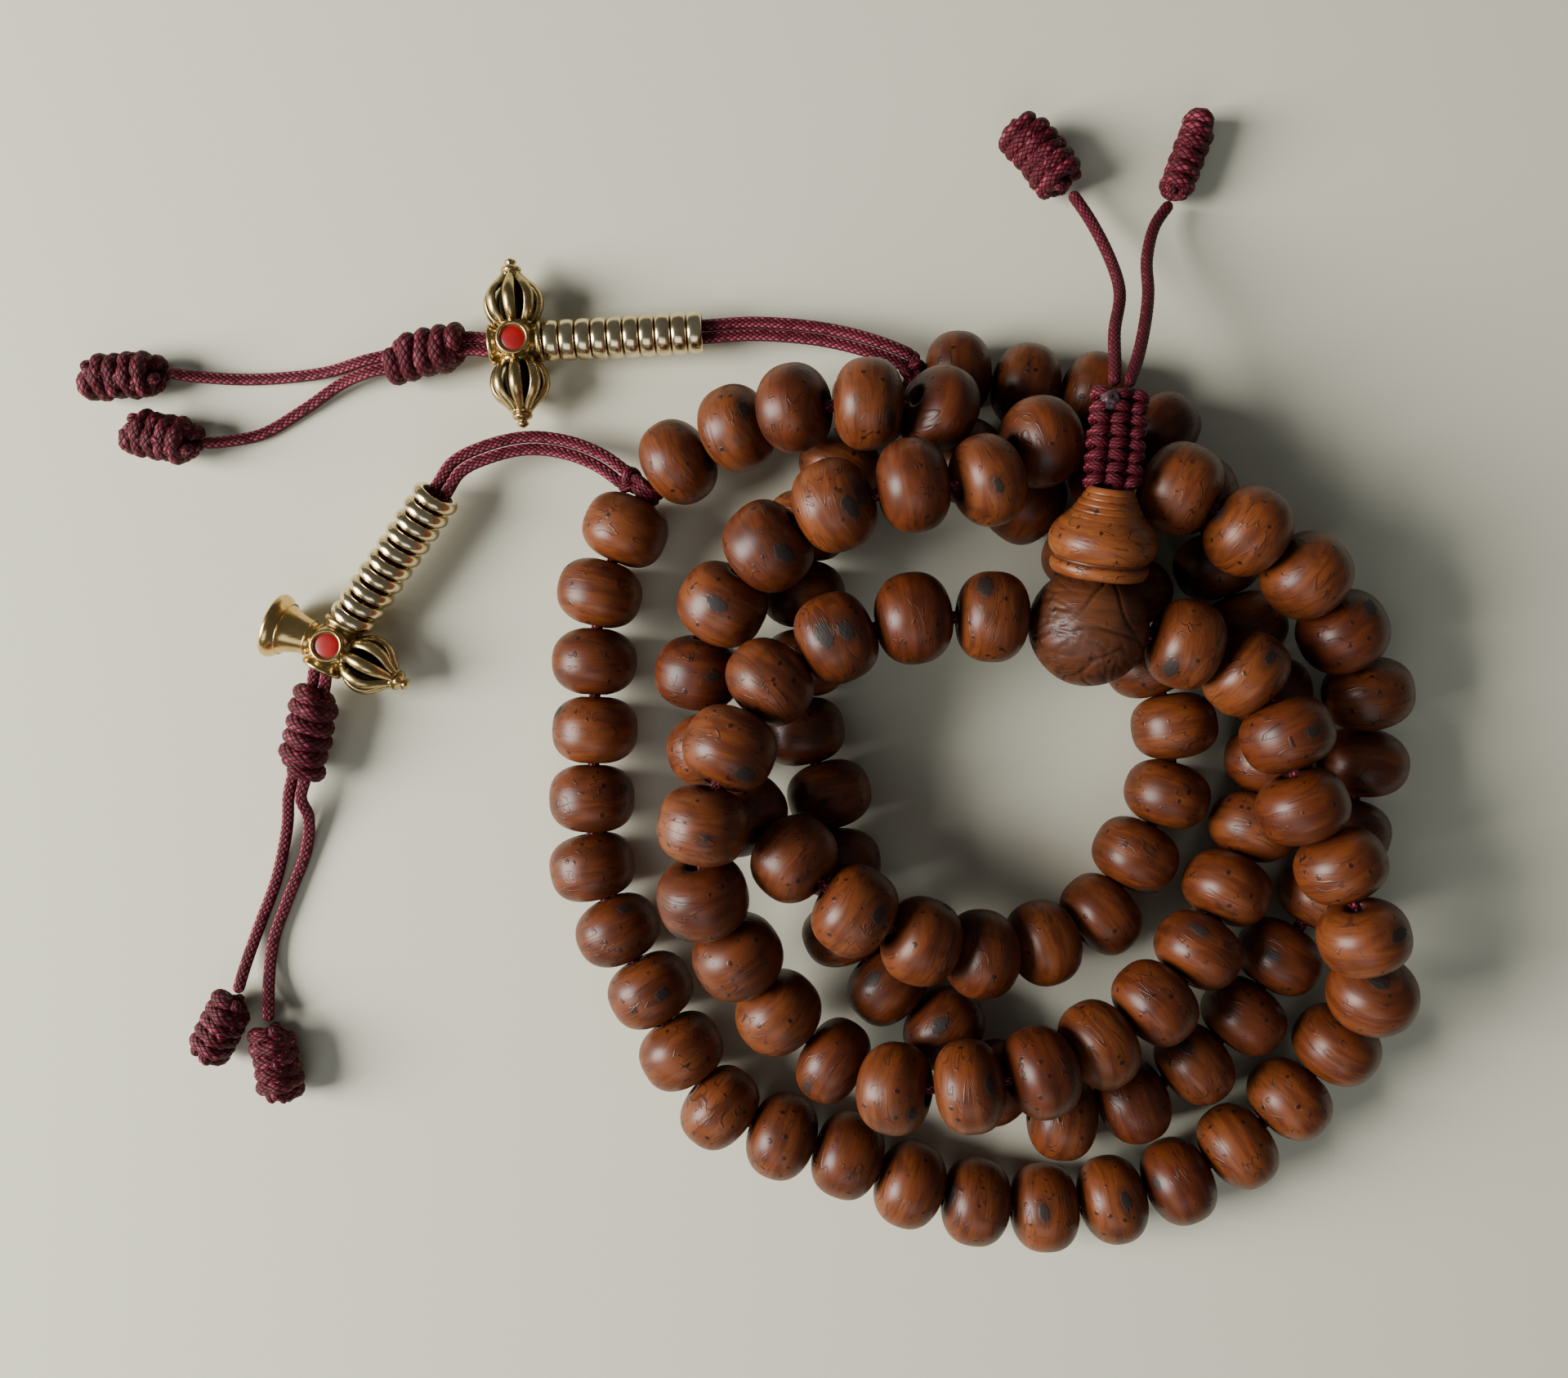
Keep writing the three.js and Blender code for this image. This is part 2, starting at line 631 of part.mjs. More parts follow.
function charmBody(counter) {
  const half = BARREL_HALF;
  const barrel = [[0, -half], [BARREL_RADIUS, -half], [BARREL_RADIUS, half], [0, half]];
  const bezel = new THREE.CylinderGeometry(BEZEL_RADIUS, BEZEL_RADIUS, BEZEL_TOP, 12);
  const recess = new THREE.CylinderGeometry(RECESS_RADIUS, RECESS_RADIUS, 2 * RECESS_DEPTH, 12);
  const bore = new THREE.CylinderGeometry(STRAND_BORE, STRAND_BORE, 3 * BARREL_HALF, 10);
  const second = counter.hasBell ? BELL : LOBE;
  return solidOf(turned(barrel, 12).rotateZ(-Math.PI / 2))
    .add(solidOf(turned(LOBE, 12).rotateZ(counter.hasBell ? Math.PI : 0)))
    .add(solidOf(turned(second, 12).rotateZ(counter.hasBell ? 0 : Math.PI)))
    .add(solidOf(bezel.rotateX(Math.PI / 2).translate(0, 0, BEZEL_TOP / 2)))
    .subtract(solidOf(recess.rotateX(Math.PI / 2).translate(0, 0, BEZEL_TOP)))
    .subtract(solidOf(bore.rotateZ(Math.PI / 2)));
}

function addCharm(counter) {
  const place = charmPlace(counter);
  add(`${counter.name}_charm`, geometryOf(charmBody(counter)), oldGold()).applyMatrix4(place);
  const disc = new THREE.CylinderGeometry(RECESS_RADIUS - 0.25, RECESS_RADIUS - 0.25, RECESS_DEPTH, 12);
  disc.rotateX(Math.PI / 2).translate(0, 0, BEZEL_TOP - RECESS_DEPTH / 2 + 0.2);
  add(`${counter.name}_enamel`, closed(disc), redEnamel()).applyMatrix4(place);
}

function addRings(counter) {
  const { name, charm, ringAxis, ringRadius, ringBore } = counter;
  const half = RING_WIDTH / 2;
  const crown = [[ringRadius, -half * 0.6], [ringRadius, half * 0.6]];
  const section = [[ringBore, -half], ...crown, [ringBore, half], [ringBore, -half]];
  for (let i = 0; i < RING_COUNT; i += 1) {
    const distance = BARREL_HALF + GAP + RING_WIDTH / 2 + i * RING_PITCH;
    const number = String(i + 1).padStart(2, '0');
    const ring = turned(section, RING_SIDES);
    addAlong(`${name}_ring_${number}`, ring, paleBrass(), along(charm, ringAxis, distance), ringAxis);
  }
}

// The middle line of both strands, from the hitch to just past the sliding knot.
function sharedRoute({ charm, ringAxis, barrelAxis, fromHitch, slideKnot, travel }) {
  const stackEnd = BARREL_HALF + GAP + RING_COUNT * RING_PITCH;
  const straightEnd = stackEnd + travel;
  const [knotStart, knotEnd] = slideKnot;
  const knotAxis = knotEnd.clone().sub(knotStart).normalize();
  const line = [straightEnd, stackEnd, stackEnd / 2].map((distance) => along(charm, ringAxis, distance));
  return [
    ...fromHitch,
    ...line,
    along(charm, ringAxis, BARREL_HALF + GAP),
    charm.clone(),
    along(charm, barrelAxis, -BARREL_HALF),
    knotStart.clone(),
    knotEnd.clone(),
    along(knotEnd, knotAxis, 2.2),
  ];
}

function beside(list, offset) {
  return list.map((place, i) => {
    const direction = list[Math.min(i + 1, list.length - 1)].clone().sub(list[Math.max(i - 1, 0)]);
    return along(place, UP.clone().cross(direction).normalize(), offset);
  });
}

function addStrands(counter) {
  const shared = sharedRoute(counter);
  counter.tails.forEach((tail, i) => {
    const letter = 'ab'[i];
    const offset = i === 0 ? -STRAND_OFFSET : STRAND_OFFSET;
    strandTube(`${counter.name}_strand_${letter}`, [...beside(shared, offset), ...tail]);
    coiledKnot(`${counter.name}_end_knot_${letter}`, counter.endKnots[i], 5);
  });
}

function addSlideKnot({ name, slideKnot, knotRadius }) {
  const [start, end] = slideKnot;
  const knot = pierced(coilProfile(start.distanceTo(end), knotRadius, 5), STRAND_BORE, KNOT_SIDES);
  addAlong(`${name}_slide_knot`, knot, maroonCord(), start, end.clone().sub(start).normalize());
}

for (const counter of COUNTERS) {
  addHitch(counter);
  addCharm(counter);
  addRings(counter);
  addStrands(counter);
  addSlideKnot(counter);
}

mala.position.copy(ORIGIN).negate();

export default mala;
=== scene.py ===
"""The looks of a coiled mala: wooden beads, a guru bead with its tower, knotted maroon cord,
and two brass counters. Places are in millimetres until a mesh is made, then in metres."""
import json
import math
import random

import bpy
import numpy as np
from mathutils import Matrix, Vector, noise

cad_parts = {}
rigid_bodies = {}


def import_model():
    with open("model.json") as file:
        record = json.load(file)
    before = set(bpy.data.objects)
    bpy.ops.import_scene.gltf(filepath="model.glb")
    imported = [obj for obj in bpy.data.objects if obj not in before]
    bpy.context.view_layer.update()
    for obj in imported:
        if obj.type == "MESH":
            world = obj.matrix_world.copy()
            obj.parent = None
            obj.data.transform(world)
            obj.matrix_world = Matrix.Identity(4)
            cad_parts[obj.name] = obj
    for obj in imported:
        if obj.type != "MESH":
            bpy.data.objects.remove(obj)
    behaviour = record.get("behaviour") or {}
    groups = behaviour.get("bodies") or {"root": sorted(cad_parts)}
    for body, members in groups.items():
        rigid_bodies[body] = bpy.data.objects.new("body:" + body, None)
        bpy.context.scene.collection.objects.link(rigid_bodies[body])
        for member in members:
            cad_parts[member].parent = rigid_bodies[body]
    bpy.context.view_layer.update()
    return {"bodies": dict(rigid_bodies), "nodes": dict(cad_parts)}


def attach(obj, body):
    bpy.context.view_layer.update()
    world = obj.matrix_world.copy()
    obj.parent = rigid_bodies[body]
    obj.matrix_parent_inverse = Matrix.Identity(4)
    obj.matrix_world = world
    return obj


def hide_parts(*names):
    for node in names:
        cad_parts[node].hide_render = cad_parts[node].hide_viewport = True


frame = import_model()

MM = 0.001
BELL_TILT = math.radians(8)  # between the bell's own axis and its charm's
TAU = 2 * math.pi
rng = random.Random(108)

# ---------------------------------------------------------------- sizes, as in the CAD part

BEAD_RADIUS = 5.1
BEAD_HALF = 4.05
BELLY_HALF = 1.45
BEAD_FACE_RADIUS = 2.6
GAP = 0.3
GURU_RADIUS = 6.75
TOWER_FOOT = 5.9
TOWER_LENGTH = 9.7
BRAID_LENGTH = 9.4
BRAID_BEND = 1.2
HITCH_HALF = 0.85
HITCH_RADIUS = 2.35
STRAND_OFFSET = 0.75
STRAND_RADIUS = 0.72  # of the braided cord that is seen
RING_COUNT = 10
RING_PITCH = 1.9
BARREL_HALF = 3.2
ORIGIN = (5.83, -7.64, 0.0)
CAMERA_HEIGHT = 169
LENS = 31.69  # with the sensor 36 mm wide
STITCHES = 8  # of the braided cord, around it
STITCH_LENGTH = 0.78


def unit(v):
    size = 1 / math.sqrt(v[0] * v[0] + v[1] * v[1] + v[2] * v[2])
    return (v[0] * size, v[1] * size, v[2] * size)


def along(start, direction, distance):
    return tuple(start[k] + direction[k] * distance for k in range(3))


def vec(place):
    """A place of the route, moved to the frame's origin, still in millimetres."""
    return Vector([place[k] - ORIGIN[k] for k in range(3)])


# ---------------------------------------------------------------- places chosen, as in the CAD part

GURU = (34.0, 7.0, 15.0)
TOWER_AXIS = unit((1.5, 14.8, 4.4))
BRAID_AXIS = unit((1, 10.2, -0.4))
TOWER_TOP = along(GURU, TOWER_AXIS, TOWER_FOOT + TOWER_LENGTH)
BRAID_START = along(TOWER_TOP, BRAID_AXIS, BRAID_BEND)
BELL_HITCH = (-16.5, 23.5, 5.2)
DORJE_HITCH = (15.5, 35.5, 5.2)

GURU_TO_BELL = [
    (51, 1, 14.5), (58, -12.5, 15), (64, -26, 13.5), (64.5, -42, 6), (53.5, -54, 5.2),
    (38.5, -60.5, 5.2), (22.5, -60.5, 5.2), (7.5, -55.5, 5.2), (-7, -49, 5.2), (-16, -35.5, 5.2),
    (-22, -21, 5.2), (-22.5, -5, 5.2), (-21.5, 11, 5.2),
]
BELL_TO_DORJE = [
    (-6, 30, 8.5), (9.5, 31.5, 15.5), (25, 29, 12), (37, 18, 5.2), (43.5, 3, 5.2),
    (45.5, -12, 5.2), (37.5, -26, 5.2), (23, -30.5, 10), (8, -25, 15), (-4, -15, 10),
    (-11, 1.5, 7.5), (-1.5, 17, 15.5), (14.5, 22.5, 19), (29, 23, 17), (45.5, 20, 15.5),
    (58, 12, 12.5), (66.5, -0.5, 7), (66.5, -17, 5.2), (60, -32, 5.2), (49, -44.5, 5.2),
    (33.5, -51, 5.2), (17.5, -40.5, 5.2), (7.5, -28, 5.2), (3.5, -12.5, 5.2), (2.5, 2.5, 5.2),
    (3, 19.5, 5.2), (10, 33, 5.2),
]
DORJE_TO_GURU = [
    (28.5, 36, 5.2), (43.5, 29.5, 5.2), (51, 15, 5.2), (59.5, 0, 5.2), (55, -16.5, 5.2),
    (47.5, -30.5, 9), (36, -40, 12), (21.5, -44, 15), (6, -43, 8), (-5, -31, 12),
    (-8.5, -14.5, 18.5), (-1.5, 1.5, 15), (14.5, 8, 15.5),
]

COUNTERS = [
    {
        "name": "dorje",
        "hitch": DORJE_HITCH,
        "charm": (-32, 41.4, 3.75),
        "ring_axis": unit((1, 0.06, 0)),
        "barrel_axis": unit((1, 0.08, 0)),
        "travel": 6,
        "from_hitch": [
            (15.1, 38.7, 5.5), (13.2, 39.5, 5.8), (10.6, 40.5, 5.6), (7.2, 41.6, 5), (3.2, 42.5, 4.3),
        ],
        "slide_knot": [(-38, 41.4, 3.5), (-48, 39.2, 3.2)],
        "tails": [
            [(-55.5, 38.4, 1.5), (-61, 37.9, 0.75), (-66, 37.7, 0.75), (-71, 37.8, 1.8), (-74.1, 38, 3)],
            [(-53.6, 37, 1.6), (-58.5, 34, 0.75), (-63.7, 31, 0.75), (-67.8, 29.9, 1.9), (-70, 29.5, 3)],
        ],
        "end_knots": [
            [(-74.4, 38, 3), (-84.6, 37.3, 3), 2.95],
            [(-70.3, 29.4, 3.1), (-79.2, 31.2, 3.1), 3.05],
        ],
    },
    {
        "name": "bell",
        "hitch": BELL_HITCH,
        "charm": (-53.8, 5.1, 4.1),
        "ring_axis": unit((0.567, 0.824, 0)),
        "barrel_axis": unit((0.469, 0.883, 0)),
        "travel": 3.5,
        "from_hitch": [
            (-19.2, 25.3, 4.9), (-21.9, 27.2, 4.6), (-25.8, 28.8, 4.1), (-30.5, 29.4, 3.9),
            (-35.2, 28.4, 4.1),
        ],
        "slide_knot": [(-55.7, 0.4, 3.8), (-58.3, -10.8, 3.2)],
        "tails": [
            [
                (-60.3, -16.6, 1.4), (-61.8, -23, 0.75), (-63.8, -28.5, 0.75), (-65.2, -33.3, 1.7),
                (-65.8, -36.6, 2.9),
            ],
            [
                (-57.6, -15.5, 1.8), (-58.2, -19.6, 0.8), (-60.4, -25.4, 0.75), (-62.2, -30.6, 0.75),
                (-62.6, -35.4, 1.2), (-62, -40, 3),
            ],
        ],
        "end_knots": [
            [(-65.9, -36.9, 2.9), (-69.8, -44.8, 2.9), 2.8],
            [(-61.9, -40.3, 3), (-60.1, -49.7, 3), 2.9],
        ],
    },
]

GURU_TAILS = [
    {
        "route": [
            (36.3, 35.2, 17.6), (37, 40, 14.5), (38.6, 45.6, 10.3), (38.3, 51, 6.3), (36.5, 56.2, 4),
            (34.4, 59.5, 3.6),
        ],
        "knot": [(34.1, 59.9, 3.5), (27.5, 68.1, 3.4), 3.3],
    },
    {
        "route": [
            (38.6, 35.5, 17.4), (40.2, 39.8, 14.6), (41.8, 45.3, 10.6), (42.6, 50.5, 7), (44.4, 55.5, 4),
            (46.5, 58.5, 2.7),
        ],
        "knot": [(46.7, 58.9, 2.5), (50.8, 69.8, 2.4), 2.3],
    },
]

# ---------------------------------------------------------------- camera, floor and light

scene = bpy.context.scene


def add_camera():
    """Straight down, with the photograph's field of view."""
    data = bpy.data.cameras.new("camera")
    data.lens = LENS
    data.sensor_width = 36
    data.clip_start = 0.01
    camera = bpy.data.objects.new("camera", data)
    camera.location = Vector((-ORIGIN[0], -ORIGIN[1], CAMERA_HEIGHT)) * MM
    scene.collection.objects.link(camera)
    scene.camera = camera


def add_area(name, place, target, size, power, colour):
    data = bpy.data.lights.new(name, "AREA")
    data.shape = "RECTANGLE"
    data.size, data.size_y = size
    data.energy = power
    data.color = colour
    lamp = bpy.data.objects.new(name, data)
    lamp.location = place
    way = Vector(target) - Vector(place)
    lamp.rotation_euler = way.to_track_quat("-Z", "Y").to_euler()
    scene.collection.objects.link(lamp)


add_camera()

# ---------------------------------------------------------------- settling the beads, as in the CAD part

SETTLE_STEPS = 500
HOME_PULL = 0.03
LINK_SLACK = 0.75
LINK_CLEAR = 0.06
STACK_CLEAR = 0.25
BELLY_REACH = 5.25
NEAR = 11.5
OBSTACLES = [
    (along(GURU, TOWER_AXIS, 8.5), 5.9),
    (along(GURU, TOWER_AXIS, 11.2), 5.1),
    (along(GURU, TOWER_AXIS, 13.8), 3.4),
    (along(BRAID_START, BRAID_AXIS, 1.5), 3.2),
    (along(BRAID_START, BRAID_AXIS, 5), 3.2),
    (along(BRAID_START, BRAID_AXIS, 8.5), 3.2),
]


class Station:
    """The guru bead, a bead, a hitch or an obstacle."""

    def __init__(self, kind, centre, reach, radius):
        self.kind, self.reach, self.radius = kind, reach, radius
        self.x, self.y, self.z = centre
        self.home = tuple(centre)
        self.fixed = kind in ("guru", "post")


def with_middles(known):
    result = []
    last = len(known) - 1
    for i in range(1, len(known)):
        before = known[max(0, i - 2)]
        after = known[min(last, i + 1)]
        middle = [
            ((known[i - 1][k] + known[i][k]) * 9 - before[k] - after[k]) * (1 / 16) for k in range(3)
        ]
        result += [tuple(middle), tuple(known[i])]
    return result


def bead_station(centre):
    return Station("bead", centre, BEAD_HALF, BEAD_RADIUS)


def make_stations():
    first = with_middles([GURU, *GURU_TO_BELL, BELL_HITCH])[:-1]
    second = with_middles([BELL_HITCH, *BELL_TO_DORJE])
    third = with_middles([DORJE_HITCH, *DORJE_TO_GURU, GURU])[:-1]
    return [
        Station("guru", GURU, GURU_RADIUS, GURU_RADIUS),
        *map(bead_station, first),
        Station("hitch", BELL_HITCH, HITCH_HALF + GAP, HITCH_RADIUS),
        *map(bead_station, second),
        Station("hitch", DORJE_HITCH, HITCH_HALF + GAP, HITCH_RADIUS),
        *map(bead_station, third),
    ]


stations = make_stations()
COUNT = len(stations)


def direction_at(i):
    a, b = stations[i - 1], stations[(i + 1) % COUNT]
    return unit((b.x - a.x, b.y - a.y, b.z - a.z))


def keep_distance(a, b, least, most):
    x, y, z = b.x - a.x, b.y - a.y, b.z - a.z
    distance = math.sqrt(x * x + y * y + z * z)
    wanted = min(max(distance, least), most)
    share = (1 if a.fixed or b.fixed else 0.5) * (wanted - distance) / distance
    x, y, z = x * share, y * share, z * share
    if not a.fixed:
        a.x, a.y, a.z = a.x - x, a.y - y, a.z - z
    if not b.fixed:
        b.x, b.y, b.z = b.x + x, b.y + y, b.z + z


def reach_towards(item, i, other):
    if item.kind != "bead":
        return item.radius
    axis = direction_at(i)
    way = unit((other.x - item.x, other.y - item.y, other.z - item.z))
    axial = abs(way[0] * axis[0] + way[1] * axis[1] + way[2] * axis[2])
    across = math.sqrt(max(0, 1 - axial * axial))
    belly = BELLY_REACH * across + BELLY_HALF * axial
    face = BEAD_FACE_RADIUS * across + (BEAD_HALF + GAP) * axial
    return max(belly, face)


def lowest(item, i):
    if item.kind != "bead":
        return item.radius
    tilt = abs(direction_at(i)[2])
    return BEAD_RADIUS * math.sqrt(1 - tilt * tilt) + BELLY_HALF * tilt


def settle():
    posts = [Station("post", centre, 0, radius) for centre, radius in OBSTACLES]
    for _ in range(SETTLE_STEPS):
        for item in stations:
            if not item.fixed:
                item.x += (item.home[0] - item.x) * HOME_PULL
                item.y += (item.home[1] - item.y) * HOME_PULL
                item.z += (item.home[2] - item.z) * HOME_PULL
        for i, item in enumerate(stations):
            after = stations[(i + 1) % COUNT]
            reach = item.reach + after.reach
            keep_distance(item, after, reach + LINK_CLEAR, reach + LINK_SLACK)
        for i, a in enumerate(stations):
            for j in range(i + 2, COUNT if i else COUNT - 1):
                b = stations[j]
                x, y, z = a.x - b.x, a.y - b.y, a.z - b.z
                if x * x + y * y + z * z <= NEAR * NEAR or a.fixed:
                    least = reach_towards(a, i, b) + reach_towards(b, j, a) + STACK_CLEAR
                    keep_distance(a, b, least, math.inf)
            if not a.fixed:
                for post in posts:
                    least = reach_towards(a, i, post) + post.radius + STACK_CLEAR
                    keep_distance(a, post, least, math.inf)
        for i, item in enumerate(stations):
            item.z = max(item.z, lowest(item, i))


settle()


def centre_of(i):
    item = stations[i % COUNT]
    return vec((item.x, item.y, item.z))


def face_after(i):
    """The place of the cord between station i and the next one."""
    a, b = stations[i % COUNT], stations[(i + 1) % COUNT]
    return centre_of(i).lerp(centre_of(i + 1), a.reach / (a.reach + b.reach))


# ---------------------------------------------------------------- node materials


class Graph:
    """A material and short ways to add its nodes."""

    def __init__(self, name):
        self.material = bpy.data.materials.new(name)
        self.material.use_nodes = True
        self.nodes = self.material.node_tree.nodes
        self.links = self.material.node_tree.links
        self.surface = self.nodes["Principled BSDF"]

    def link(self, value, socket):
        if isinstance(value, bpy.types.NodeSocket):
            self.links.new(value, socket)
        elif value is not None:
            socket.default_value = value

    def attribute(self, name, output="Fac"):
        node = self.nodes.new("ShaderNodeAttribute")
        node.attribute_name = name
        return node.outputs[output]

    def math(self, operation, a, b=None, clamp=False):
        node = self.nodes.new("ShaderNodeMath")
        node.operation = operation
        node.use_clamp = clamp
        self.link(a, node.inputs[0])
        self.link(b, node.inputs[1])
        return node.outputs[0]

    def scaled(self, vector, factors):
        node = self.nodes.new("ShaderNodeVectorMath")
        node.operation = "MULTIPLY"
        self.link(vector, node.inputs[0])
        node.inputs[1].default_value = factors
        return node.outputs[0]

    def noise(self, vector, scale, detail=3.0, distortion=0.0, roughness=0.55):
        node = self.nodes.new("ShaderNodeTexNoise")
        self.link(vector, node.inputs["Vector"])
        node.inputs["Scale"].default_value = scale
        node.inputs["Detail"].default_value = detail
        node.inputs["Distortion"].default_value = distortion
        node.inputs["Roughness"].default_value = roughness
        return node.outputs["Fac"]

    def voronoi(self, vector, scale):
        node = self.nodes.new("ShaderNodeTexVoronoi")
        self.link(vector, node.inputs["Vector"])
        node.inputs["Scale"].default_value = scale
        return node.outputs["Distance"], node.outputs["Color"]

    def step(self, value, low, high):
        """0 below low, 1 above high, smooth between; low may be the larger one."""
        node = self.nodes.new("ShaderNodeMapRange")
        node.interpolation_type = "SMOOTHSTEP"
        rising = low < high
        self.link(value, node.inputs["Value"])
        node.inputs["From Min"].default_value = low if rising else high
        node.inputs["From Max"].default_value = high if rising else low
        node.inputs["To Min"].default_value = 0 if rising else 1
        node.inputs["To Max"].default_value = 1 if rising else 0
        return node.outputs["Result"]

    def between(self, factor, low, high):
        node = self.nodes.new("ShaderNodeMapRange")
        self.link(factor, node.inputs["Value"])
        node.inputs["To Min"].default_value = low
        node.inputs["To Max"].default_value = high
        return node.outputs["Result"]

    def mix(self, factor, a, b, blend="MIX"):
        node = self.nodes.new("ShaderNodeMix")
        node.data_type = "RGBA"
        node.blend_type = blend
        self.link(factor, node.inputs["Factor"])
        sockets = [s for s in node.inputs if s.type == "RGBA"]
        for value, socket in zip((a, b), sockets):
            self.link((*value, 1) if isinstance(value, tuple) else value, socket)
        return [s for s in node.outputs if s.type == "RGBA"][0]

    def bump(self, height, strength, distance):
        node = self.nodes.new("ShaderNodeBump")
        node.inputs["Strength"].default_value = strength
        node.inputs["Distance"].default_value = distance
        self.link(height, node.inputs["Height"])
        self.links.new(node.outputs["Normal"], self.surface.inputs["Normal"])

    def set(self, **values):
        for name, value in values.items():
            socket = self.surface.inputs[name.replace("_", " ")]
            self.link((*value, 1) if isinstance(value, tuple) else value, socket)


def wood_material(name, light, middle, dark, dot_share, roughness):
    """Oiled wood: streaks and thin lines around the hole, pits, short cracks and burnt scars.
    The meshes carry "grain", a place along the wood in millimetres, "tone" and "scar"."""
    g = Graph(name)
    grain = g.attribute("grain", "Vector")
    tone = g.attribute("tone")
    scar = g.attribute("scar")
    painted_shade = g.attribute("painted_shade")

    streak = g.noise(g.scaled(grain, (0.16, 0.75, 0.16)), 1.0, 5, 0.7)
    blotch = g.noise(grain, 0.22, 3, 0.3)
    colour = g.mix(g.step(streak, 0.36, 0.62), middle, light)
    colour = g.mix(g.math("MULTIPLY", g.step(blotch, 0.5, 0.72), 0.55), colour, dark)
    deeper = g.mix(1.0, colour, (0.52, 0.38, 0.34), "MULTIPLY")
    colour = g.mix(g.math("MULTIPLY", tone, 0.8), colour, deeper)

    figure = g.noise(g.scaled(grain, (0.10, 0.42, 0.10)), 1.0, 2, 0.5)
    fine = g.noise(g.scaled(grain, (0.22, 2.6, 0.22)), 1.0, 3, 0.2)
    colour = g.mix(g.math("MULTIPLY", g.step(fine, 0.56, 0.68), 0.35), colour, dark)
    waves = g.math("FRACT", g.math("MULTIPLY", figure, 7.0))
    line = g.step(g.math("ABSOLUTE", g.math("SUBTRACT", waves, 0.5)), 0.10, 0.02)
    here = g.step(g.noise(grain, 0.3, 1), 0.47, 0.58)
    line = g.math("MULTIPLY", line, here)
    colour = g.mix(g.math("MULTIPLY", line, 0.6), colour, (0.03, 0.009, 0.005))

    distance, random_colour = g.voronoi(g.scaled(grain, (1.0, 0.8, 1.0)), 0.75)
    chance = g.math("ADD", random_colour, g.noise(grain, 0.35, 1))
    chosen = g.step(chance, 1.18 - dot_share, 1.26 - dot_share)
    dots = g.math("MULTIPLY", g.step(distance, 0.25, 0.13), chosen)
    speck, speck_colour = g.voronoi(grain, 1.9)
    specks = g.math("MULTIPLY", g.step(speck, 0.26, 0.12), g.step(speck_colour, 0.72, 0.8))
    colour = g.mix(g.math("MULTIPLY", specks, 0.5), colour, (0.03, 0.009, 0.004))
    colour = g.mix(g.math("MULTIPLY", dots, 0.9), colour, (0.016, 0.005, 0.003))

    squiggle = g.noise(grain, 0.62, 1, 0.4)
    crack = g.step(g.math("ABSOLUTE", g.math("SUBTRACT", squiggle, 0.5)), 0.016, 0.006)
    crack = g.math("MULTIPLY", crack, g.step(g.noise(grain, 0.5, 0), 0.67, 0.71))
    colour = g.mix(g.math("MULTIPLY", crack, 0.9), colour, (0.014, 0.005, 0.003))

    rough_edge = g.math("SUBTRACT", g.noise(grain, 1.1, 3), 0.5)
    ragged = g.math("ADD", scar, g.math("MULTIPLY", rough_edge, 0.9))
    halo = g.step(ragged, 2.1, 1.0)
    core = g.step(ragged, 1.0, 0.78)
    ash = g.mix(g.noise(grain, 2.2, 3), (0.008, 0.005, 0.004), (0.030, 0.018, 0.014))
    colour = g.mix(g.math("MULTIPLY", halo, 0.6), colour, (0.040, 0.012, 0.006))
    colour = g.mix(core, colour, ash)
    # painted shade: darker near and inside the bead holes, in the guru bead's creases and wrinkles, and in
    # the tower's groove and bore
    colour = g.mix(g.math("MULTIPLY", painted_shade, 0.75), colour, (0.022, 0.007, 0.004))

    rough = g.between(blotch, roughness - 0.05, roughness + 0.09)
    rough = g.math("ADD", rough, g.math("MULTIPLY", core, 0.2))
    height = g.math("MULTIPLY", g.math("ADD", g.math("ADD", dots, line), g.math("ADD", crack, core)), -1.0)
    height = g.math("ADD", height, g.math("MULTIPLY", fine, 0.25))
    g.bump(height, 0.35, 0.00012)
    g.set(Base_Color=colour, Roughness=rough, Coat_Weight=0.04, Coat_Roughness=0.28)
    g.surface.inputs["Specular IOR Level"].default_value = 0.34
    return g.material


